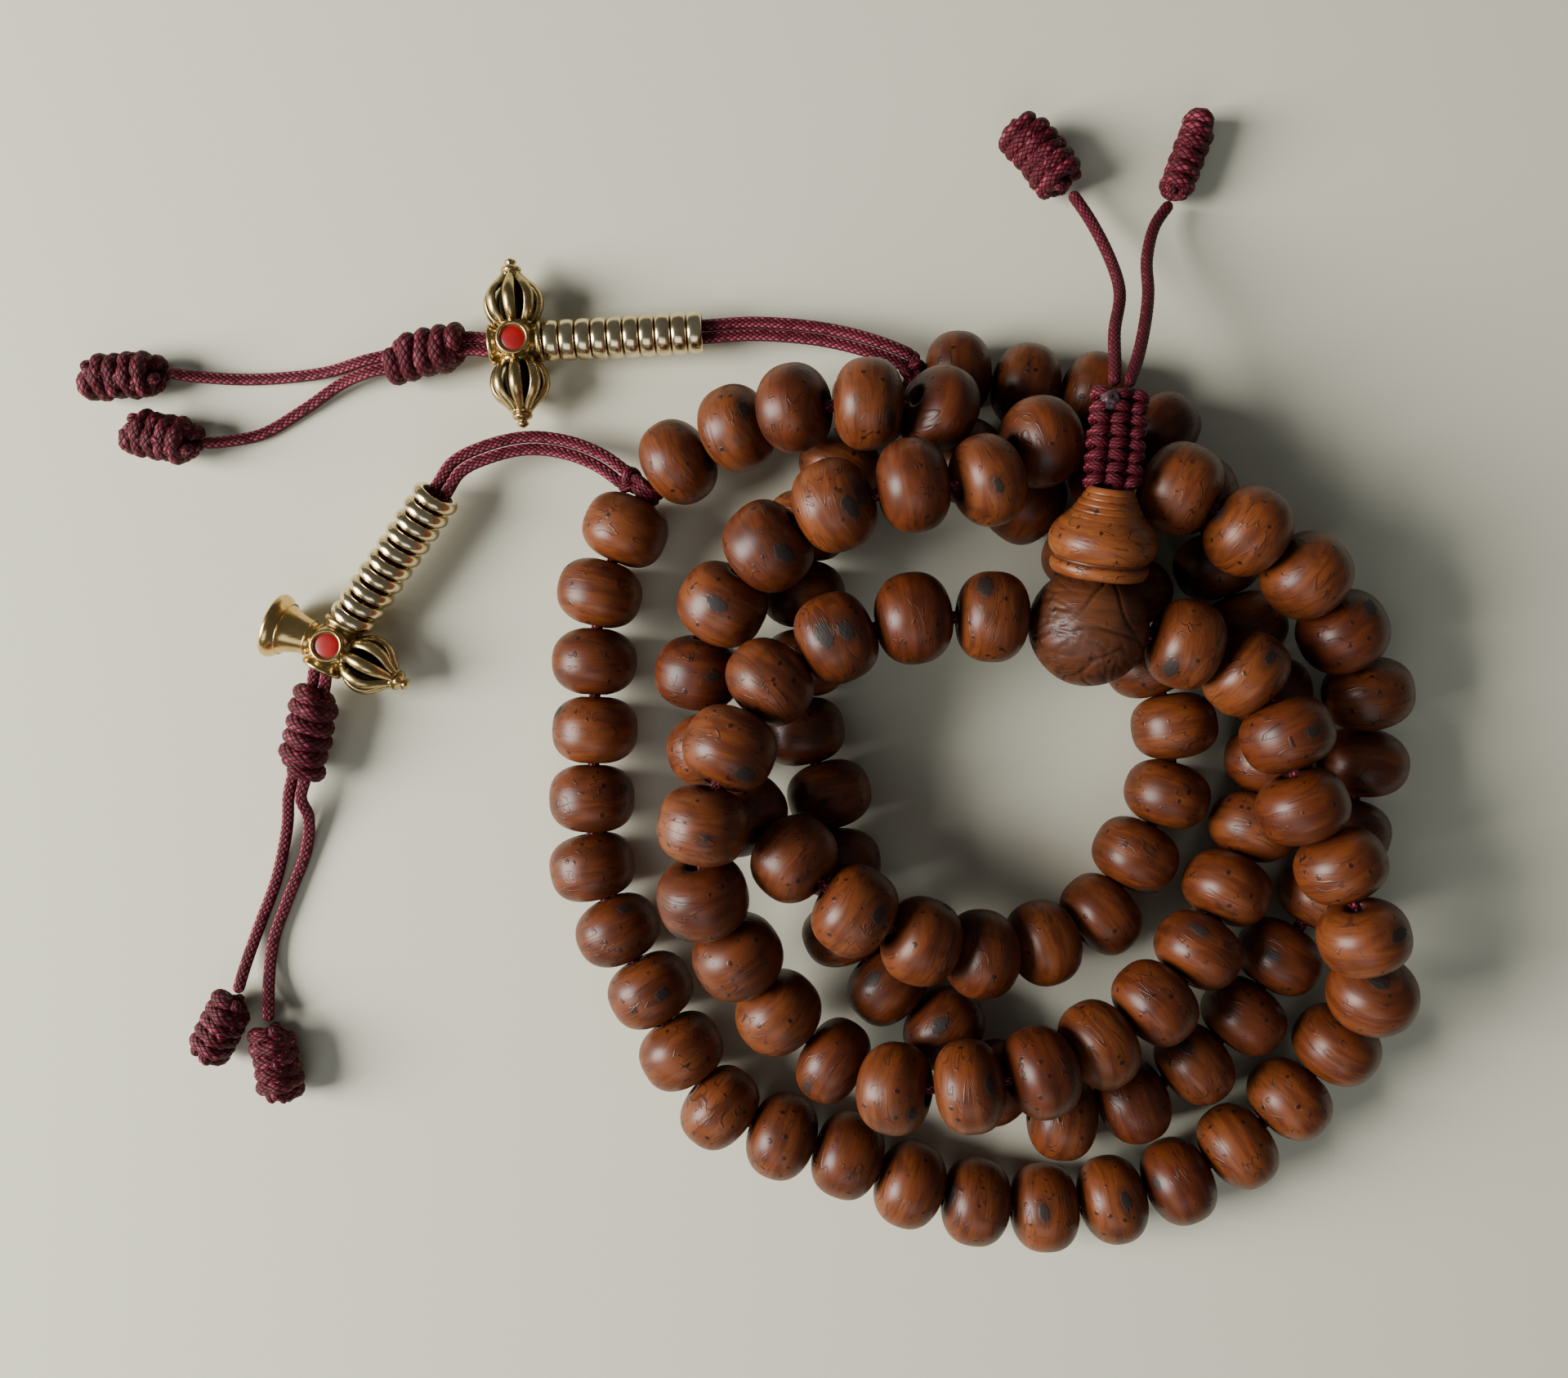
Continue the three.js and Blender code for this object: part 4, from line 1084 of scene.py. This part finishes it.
def add_bead(number, index, node, body):
    centre = centre_of(index)
    side, axis, down = axes_along(Vector(direction_at(index)))
    raised = centre.z > BEAD_RADIUS + 0.6
    radius = BEAD_RADIUS * rng.uniform(0.98, 1.012 if raised else 0.992)
    half = room_beside(index)
    profile = bead_profile(radius, half, 1.0)
    seed = Vector([rng.uniform(-900, 900) for _ in range(3)])
    twist = rng.uniform(0, TAU)
    eyes = []
    spots = SCARS.get(number)
    if spots is None and rng.random() < 0.45:
        spots = [(rng.uniform(-0.9, 0.9), rng.uniform(-0.9, 0.9), rng.uniform(0.5, 1.0))]
    for right, up, size in spots or []:
        height = math.sqrt(max(0.05, 1 - right * right - up * up))
        way = Vector((right, up, height)).normalized()
        eye = Vector((way.dot(side), way.dot(axis) * radius / half, way.dot(-down)))
        eyes.append((eye.normalized(), size))
    places, grain, scar, painted_shade = [], [], [], []
    for reach, height, edge in profile:
        for j in range(AROUND):
            angle = TAU * j / AROUND
            local = Vector((reach * math.cos(angle), height, reach * math.sin(angle)))
            swell = 1 + 0.012 * noise.noise(local * 0.22 + seed) if reach > 1.3 else 1
            place = centre + (side * local.x + axis * local.y - down * local.z) * swell
            places.append(tuple(place))
            way = Vector((local.x, local.y * radius / half, local.z)).normalized()
            nearest, pull = 9.0, 0.0
            for eye, size in eyes:
                off = way - eye
                wide, long = off.length, abs(off.y)
                around = math.sqrt(max(0, wide * wide - long * long))
                distance = math.hypot(around / (0.30 * size), off.y / (0.21 * size))
                nearest = min(nearest, distance)
                pull += math.copysign(1.3 * size, off.y) * math.exp(-((distance / 2.2) ** 2))
            turned_x = local.x * math.cos(twist) - local.z * math.sin(twist)
            turned_z = local.x * math.sin(twist) + local.z * math.cos(twist)
            grain.append((turned_x + seed.x, local.y - pull + seed.y, turned_z + seed.z))
            scar.append(nearest)
            # painted shade near and inside the hole
            painted_shade.append(edge)
    rows = len(profile)
    faces = []
    for i in range(rows):
        a, b = i * AROUND, ((i + 1) % rows) * AROUND
        faces += [(a + j, b + j, b + (j + 1) % AROUND, a + (j + 1) % AROUND) for j in range(AROUND)]
    tone = [rng.random() ** 1.3] * len(places)
    values = {"grain": grain, "scar": scar, "painted_shade": painted_shade, "tone": tone}
    make_piece(f"wood_bead_{number:03d}", places, faces, BEAD_WOOD, body, [node], "wood", values)


def run_of(number):
    """The CAD node that holds a bead, and its body."""
    for node in frame["nodes"]:
        part = node.split("_")
        if part[0] == "beads" and int(part[1]) <= number <= int(part[2]):
            return node, "loop"
    node = f"bead_{number:03d}"
    return node, node if node in frame["bodies"] else "loop"


bead_indexes = [i for i, item in enumerate(stations) if item.kind == "bead"]
for number, index in enumerate(bead_indexes, start=1):
    add_bead(number, index, *run_of(number))

# ---------------------------------------------------------------- guru bead and tower


# Creases that part the skin of the guru bead into leaves: places right and up of its middle as
# seen from above, in radii. The far side has the same ones.
CREASES = [
    [(0.30, 0.96), (0.21, 0.68), (-0.10, 0.31), (-0.52, 0.0), (-0.91, -0.16)],
    [(0.30, 0.96), (0.47, 0.47), (0.62, 0.05), (0.83, -0.31)],
    [(-0.52, -0.05), (-0.21, -0.08), (0.21, -0.05), (0.52, -0.10), (0.83, -0.26)],
    [(-0.36, -0.92), (0.10, -0.57), (0.52, -0.31)],
]
GURU_FRONT = (Vector((0, 0, CAMERA_HEIGHT)) - Vector(GURU)).normalized()
GURU_RIGHT = (Vector((1, 0, 0)) - GURU_FRONT * GURU_FRONT.x).normalized()
GURU_UP = GURU_FRONT.cross(GURU_RIGHT)
PATCH = (0.25, 0.25)


def distance_to_line(x, y, line):
    best = 9.0
    for (x0, y0), (x1, y1) in zip(line, line[1:]):
        dx, dy = x1 - x0, y1 - y0
        t = min(1, max(0, ((x - x0) * dx + (y - y0) * dy) / (dx * dx + dy * dy)))
        best = min(best, math.hypot(x - x0 - dx * t, y - y0 - dy * t))
    return best


def guru_skin(way):
    """Towards a direction: how deep the skin is creased and wrinkled, and how near the pale patch."""
    facing = way.dot(GURU_FRONT)
    seen = way if facing > 0 else -way
    wave = noise.noise(way * 2.1) * 0.10
    x, y = seen.dot(GURU_RIGHT) + wave, seen.dot(GURU_UP) - wave
    near = min(distance_to_line(x, y, line) for line in CREASES)
    fade = min(1, abs(facing) / 0.25)
    crease = max(0.0, 1 - near / 0.035) * fade
    dx, dy = x - PATCH[0], y - PATCH[1]
    angle, spread = math.atan2(dy, dx), math.hypot(dx, dy)
    folds = noise.noise(Vector((angle * 7, spread * 2.6, wave * 9)))
    wrinkle = max(0.0, 1 - abs(folds) / 0.2) * min(1, max(0, spread - 0.35) * 3) * fade
    return crease, wrinkle, max(0.0, 1 - spread / 0.5)


def add_guru():
    rings, grain, scar, painted_shade, tone = [], [], [], [], []
    rows, sides = 110, 150
    axis = Vector(TOWER_AXIS)
    side, _, down = axes_along(axis)
    shape = Shape()
    for i in range(1, rows):
        polar = math.pi * i / rows
        ring = []
        for j in range(sides):
            angle = TAU * j / sides
            way = axis * math.cos(polar) + outward(side, down, angle) * math.sin(polar)
            crease, wrinkle, patch = guru_skin(way)
            reach = GURU_RADIUS * (0.992 + 0.02 * noise.noise(way * 1.3))
            reach -= 0.20 * crease + 0.11 * wrinkle
            if math.cos(polar) > 0.93:
                reach = min(reach, 5.85 / math.cos(polar))
            ring.append(vec(GURU) + way * reach)
            grain.append(tuple(way * 6.5))
            scar.append(9.0 - 8.4 * max(0.0, patch - 0.75) / 0.25)
            # painted shade in the creases and wrinkles
            painted_shade.append(0.85 * crease + 0.35 * wrinkle)
            tone.append(0.75 - 0.65 * min(1, patch * 2))
        rings.append(ring)
    shape.grid(rings, False)
    for end in (0, 1):
        grain.append(grain[0] if end == 0 else grain[-2])
        scar.append(9.0)
        painted_shade.append(0.0)
        tone.append(0.5)
    values = {"grain": grain, "scar": scar, "painted_shade": painted_shade, "tone": tone}
    body, node = "loop", "guru_bead"
    make_piece("wood_guru_bead", shape.places, shape.faces, GURU_WOOD, body, [node], "wood", values)


def add_tower():
    """The turned tower: a foot under a lip, a wide bowl and a finely grooved neck."""
    outline = [
        (3.7, 0.85), (4.3, 0.15), (5.0, 0.1), (5.3, 0.45), (5.42, 0.9), (5.35, 1.3), (5.15, 1.55),
        (5.02, 1.7), (5.0, 1.85), (5.25, 2.05), (5.6, 2.45), (5.85, 3.0), (5.95, 3.6), (5.9, 4.2),
        (5.7, 4.8), (5.35, 5.4), (4.9, 5.95), (4.45, 6.4),
    ]
    fine = []
    for k in range(len(outline) - 1):
        (r0, h0), (r1, h1) = outline[k], outline[k + 1]
        fine += [(r0 + (r1 - r0) * t / 3, h0 + (h1 - h0) * t / 3) for t in range(3)]
    neck = []
    for k in range(61):
        t = k / 60
        height = 6.4 + t * (TOWER_LENGTH - 6.4)
        radius = 4.45 + (2.42 - 4.45) * t**0.8
        groove = 0.09 * max(0, math.cos(t * TAU * 5)) ** 3
        neck.append((radius - groove, height))
    inside = [(1.9, TOWER_LENGTH), (1.8, TOWER_LENGTH - 0.4), (1.8, 5.0), (1.8, 1.2)]
    profile = [*fine, *neck, *inside]
    start = along(GURU, TOWER_AXIS, TOWER_FOOT)
    sides = 72
    shape = Shape().turn(vec(start), Vector(TOWER_AXIS), profile, sides, closed_rows=True)
    grain, painted_shade, scar = [], [], []
    for radius, height in profile:
        # painted shade in the groove under the lip and inside the bore
        groove = 0.8 if 1.5 < height < 2.0 and radius > 4 else 0.0
        groove = 0.9 if radius < 2.1 else groove
        for j in range(sides):
            angle = TAU * j / sides
            grain.append((radius * math.cos(angle) + 40, height * 0.9 + 20, radius * math.sin(angle)))
            painted_shade.append(groove)
            scar.append(9.0)
    values = {"grain": grain, "scar": scar, "painted_shade": painted_shade, "tone": [0.1] * len(grain)}
    body, node = "loop", "guru_tower"
    make_piece("wood_guru_tower", shape.places, shape.faces, TOWER_WOOD, body, [node], "wood", values)


add_guru()
add_tower()

# ---------------------------------------------------------------- rings and charms


def ring_section(half_width, inner, outer, power):
    """A rounded section of a ring, around which it is turned."""
    middle, thick = (inner + outer) / 2, (outer - inner) / 2
    section = []
    for i in range(20):
        angle = TAU * i / 20
        x = math.copysign(abs(math.cos(angle)) ** power, math.cos(angle))
        y = math.copysign(abs(math.sin(angle)) ** power, math.sin(angle))
        section.append((middle + thick * x, half_width * y))
    return section


def add_rings(counter):
    name = counter["name"]
    round_wire = name == "bell"
    for i in range(RING_COUNT):
        distance = BARREL_HALF + GAP + (RING_PITCH - GAP) / 2 + i * RING_PITCH
        place = vec(along(counter["charm"], counter["ring_axis"], distance))
        axis = Vector(counter["ring_axis"])
        if round_wire:
            lean = Vector((0, 0, 1)) * rng.uniform(0.22, 0.30)
            axis = (axis + lean).normalized()
            section = ring_section(0.80, 1.62, 2.85 * rng.uniform(0.985, 1.0), 1.0)
        else:
            section = ring_section(0.88, 1.78, 2.52 * rng.uniform(0.985, 1.0), 0.92)
        # painted shade on the ring sides that face the next rings and inside the bore
        deep = [max(0.0, (abs(h) - 0.45) * 1.2) + (0.9 if r < 1.9 else 0) for r, h in section]
        shape = Shape().turn(place, axis, section, 56, closed_rows=True, recess=deep)
        number = f"{name}_ring_{i + 1:02d}"
        shape.piece("brass_" + number, PALE_BRASS, number, [number], "pale_brass")


def charm_axes(counter):
    along_barrel = Vector(counter["barrel_axis"])
    return along_barrel, Vector((0, 0, 1)).cross(along_barrel), Vector((0, 0, 1))


def add_lobe(shape, middle, out):
    """Half a dorje: eight ribs that bow out around a spindle, a beaded collar and a pointed finial."""
    side, _, down = axes_along(out)
    core = [(1.25, 1.75), (1.5, 2.6), (1.7, 4.6), (1.35, 6.4), (0.85, 7.9)]
    # painted shade with tarnish: the spindle inside the ribs is fully dark, collar and finial a little
    shape.turn(middle, out, core, 20, recess=1.0)
    petals = [(1.1, 1.7), (1.95, 1.75), (2.15, 2.1), (1.7, 2.5), (1.2, 2.6)]
    shape.turn(middle, out, petals, 48, recess=0.35, wobble=lambda a, h: 1 + 0.07 * abs(math.sin(4 * a)))
    bow = [
        (1.4, 2.0), (2.05, 2.5), (2.75, 3.3), (3.12, 4.4), (3.08, 5.4), (2.6, 6.3), (1.75, 7.1),
        (1.05, 7.8), (0.7, 8.2),
    ]
    line = smooth_route([Vector((r, h, 0)) for r, h in bow], 4)
    for k in range(8):
        angle = TAU * k / 8
        way = outward(side, down, angle)
        across = out.cross(way)
        rings, levels = [], []
        for i, p in enumerate(line):
            a, b = line[max(i - 1, 0)], line[min(i + 1, len(line) - 1)]
            slope = (b - a).normalized()
            normal = way * slope.y - out * slope.x
            place = middle + way * p.x + out * p.y
            t = i / (len(line) - 1)
            wide = 0.34 + 0.42 * math.sin(math.pi * min(1, t * 1.05)) ** 0.8
            thick = 0.36
            ring, level = [], []
            for j in range(12):
                turn = TAU * j / 12
                x, y = math.cos(turn), math.sin(turn)
                keel = 1 + 0.35 * max(0, y) ** 4 - 0.16 * (1 if 0.3 < y < 0.8 else 0)
                ring.append(place + across * (wide * x) + normal * (thick * y * keel))
                # painted shade with tarnish on the rib's inner side, facing the spindle
                level.append(0.15 if y > 0.2 else 0.75)
            rings.append(ring)
            levels.append(level)
        shape.grid(rings, False, recess=levels)
    collar = ring_section(0.3, 0.5, 1.28, 1.0)
    beaded = lambda a, h: 1 + 0.05 * math.sin(12 * a)
    shape.turn(middle + out * 8.15, out, collar, 60, closed_rows=True, recess=0.3, wobble=beaded)
    tip = [
        (0.7, 8.3), (1.0, 8.5), (1.08, 8.8), (0.92, 9.1), (0.5, 9.3), (0.45, 9.4), (0.62, 9.6), (0.58, 9.85),
        (0.35, 10.05), (0.08, 10.2),
    ]
    shape.turn(middle, out, tip, 32, recess=0.2, wobble=lambda a, h: 1 + 0.16 * abs(math.cos(2 * a)))


def add_bell(shape, middle, out):
    """The bell: a crown, a smooth flaring wall and a thick rolled lip, hollow inside."""
    crown = [(1.2, 1.7), (2.05, 1.75), (2.2, 1.95), (1.95, 2.15), (1.75, 2.25)]
    shape.turn(middle, out, crown, 40, recess=0.4)
    outer = [
        (1.75, 2.2), (2.0, 2.6), (2.12, 3.2), (2.25, 3.9), (2.42, 4.6), (2.68, 5.3), (3.05, 5.95),
        (3.5, 6.45), (3.78, 6.75), (3.9, 7.05), (3.92, 7.35), (3.82, 7.6), (3.6, 7.68), (3.4, 7.55),
    ]
    inner = [(3.2, 7.0), (2.85, 6.2), (2.4, 5.3), (2.1, 4.4), (1.85, 3.6), (1.2, 3.0)]
    # painted shade with tarnish under the lip and inside the bell
    recess = [0.1 if i < 12 else 0.5 for i in range(len(outer))] + [0.9] * len(inner)
    shape.turn(middle, out, [*outer, *inner], 64, recess=recess)
    for height, radius in ((3.0, 2.12), (6.05, 3.16)):
        turns = [TAU * i / 8 for i in range(8)]
        band = [(radius + 0.1 * math.cos(turn), height + 0.12 * math.sin(turn)) for turn in turns]
        shape.turn(middle, out, band, 56, closed_rows=True, recess=0.2)
    clapper = [(0.3, 3.4), (0.35, 5.6), (0.75, 6.2), (0.8, 6.7), (0.3, 7.1)]
    shape.turn(middle, out, clapper, 16, recess=0.6)


def add_charm(counter):
    name, middle = counter["name"], vec(counter["charm"])
    barrel, across, up = charm_axes(counter)
    shape = Shape()
    tube = [
        (1.75, -3.2), (2.35, -3.2), (2.48, -3.0), (2.45, -2.7), (2.15, -2.45), (1.98, -2.0), (2.05, 0),
        (1.98, 2.0), (2.15, 2.45), (2.45, 2.7), (2.48, 3.0), (2.35, 3.2), (1.75, 3.2), (1.72, 0),
    ]
    # painted shade with tarnish in the narrow waist between the barrel's rims
    worn = [0.5 if 1.9 < radius < 2.2 else 0.15 for radius, _ in tube]
    shape.turn(middle, barrel, tube, 48, closed_rows=True, recess=worn)
    saddle = [(1.9, 1.55), (2.3, 1.6), (2.35, 1.85), (2.1, 2.3), (1.95, 2.55), (1.75, 2.6)]
    shape.turn(middle, up, saddle, 40, recess=0.45)
    bezel = ring_section(0.42, 1.5, 2.02, 0.8)
    shape.turn(middle + up * 2.52, up, bezel, 48, closed_rows=True, recess=0.1)
    add_lobe(shape, middle, -across if name == "bell" else across)
    if name == "bell":
        shape.piece("brass_bell_dorje", OLD_BRASS, "bell_charm", ["bell_charm"], "old_brass")
        bell = Shape()
        add_bell(bell, middle, across * math.cos(BELL_TILT) - barrel * math.sin(BELL_TILT))
        bell.piece("brass_bell", BELL_BRASS, "bell_charm", ["bell_charm"], "old_brass")
    else:
        add_lobe(shape, middle, -across)
        shape.piece("brass_dorje", OLD_BRASS, "dorje_charm", ["dorje_charm"], "old_brass")
    dome = [(1.58, 2.35), (1.56, 2.5), (1.4, 2.62), (1.1, 2.69), (0.6, 2.73), (0.2, 2.74)]
    disc = Shape().turn(middle, up, dome, 40)
    disc.piece(f"enamel_{name}", ENAMEL, f"{name}_charm", [f"{name}_enamel"], "enamel")


for counter in COUNTERS:
    add_rings(counter)
    add_charm(counter)

# ---------------------------------------------------------------- floor and light


def add_floor():
    size = 1.5
    mesh = bpy.data.meshes.new("floor")
    corners = [(-size, -size, 0), (size, -size, 0), (size, size, 0), (-size, size, 0)]
    mesh.from_pydata(corners, [], [(0, 1, 2, 3)])
    mesh.materials.append(floor_material())
    floor = bpy.data.objects.new("floor", mesh)
    scene.collection.objects.link(floor)


add_floor()
add_area("window", (-0.62, -0.05, 0.34), (0, 0, 0), (0.34, 0.42), 13.0, (1.0, 0.985, 0.95))
add_area("fill", (-0.10, -0.60, 0.55), (0, 0, 0), (0.6, 0.4), 1.4, (0.92, 0.97, 1.0))

world = bpy.data.worlds.new("studio")
world.use_nodes = True
world.node_tree.nodes["Background"].inputs["Color"].default_value = (0.80, 0.82, 0.84, 1)
world.node_tree.nodes["Background"].inputs["Strength"].default_value = 0.13
scene.world = world
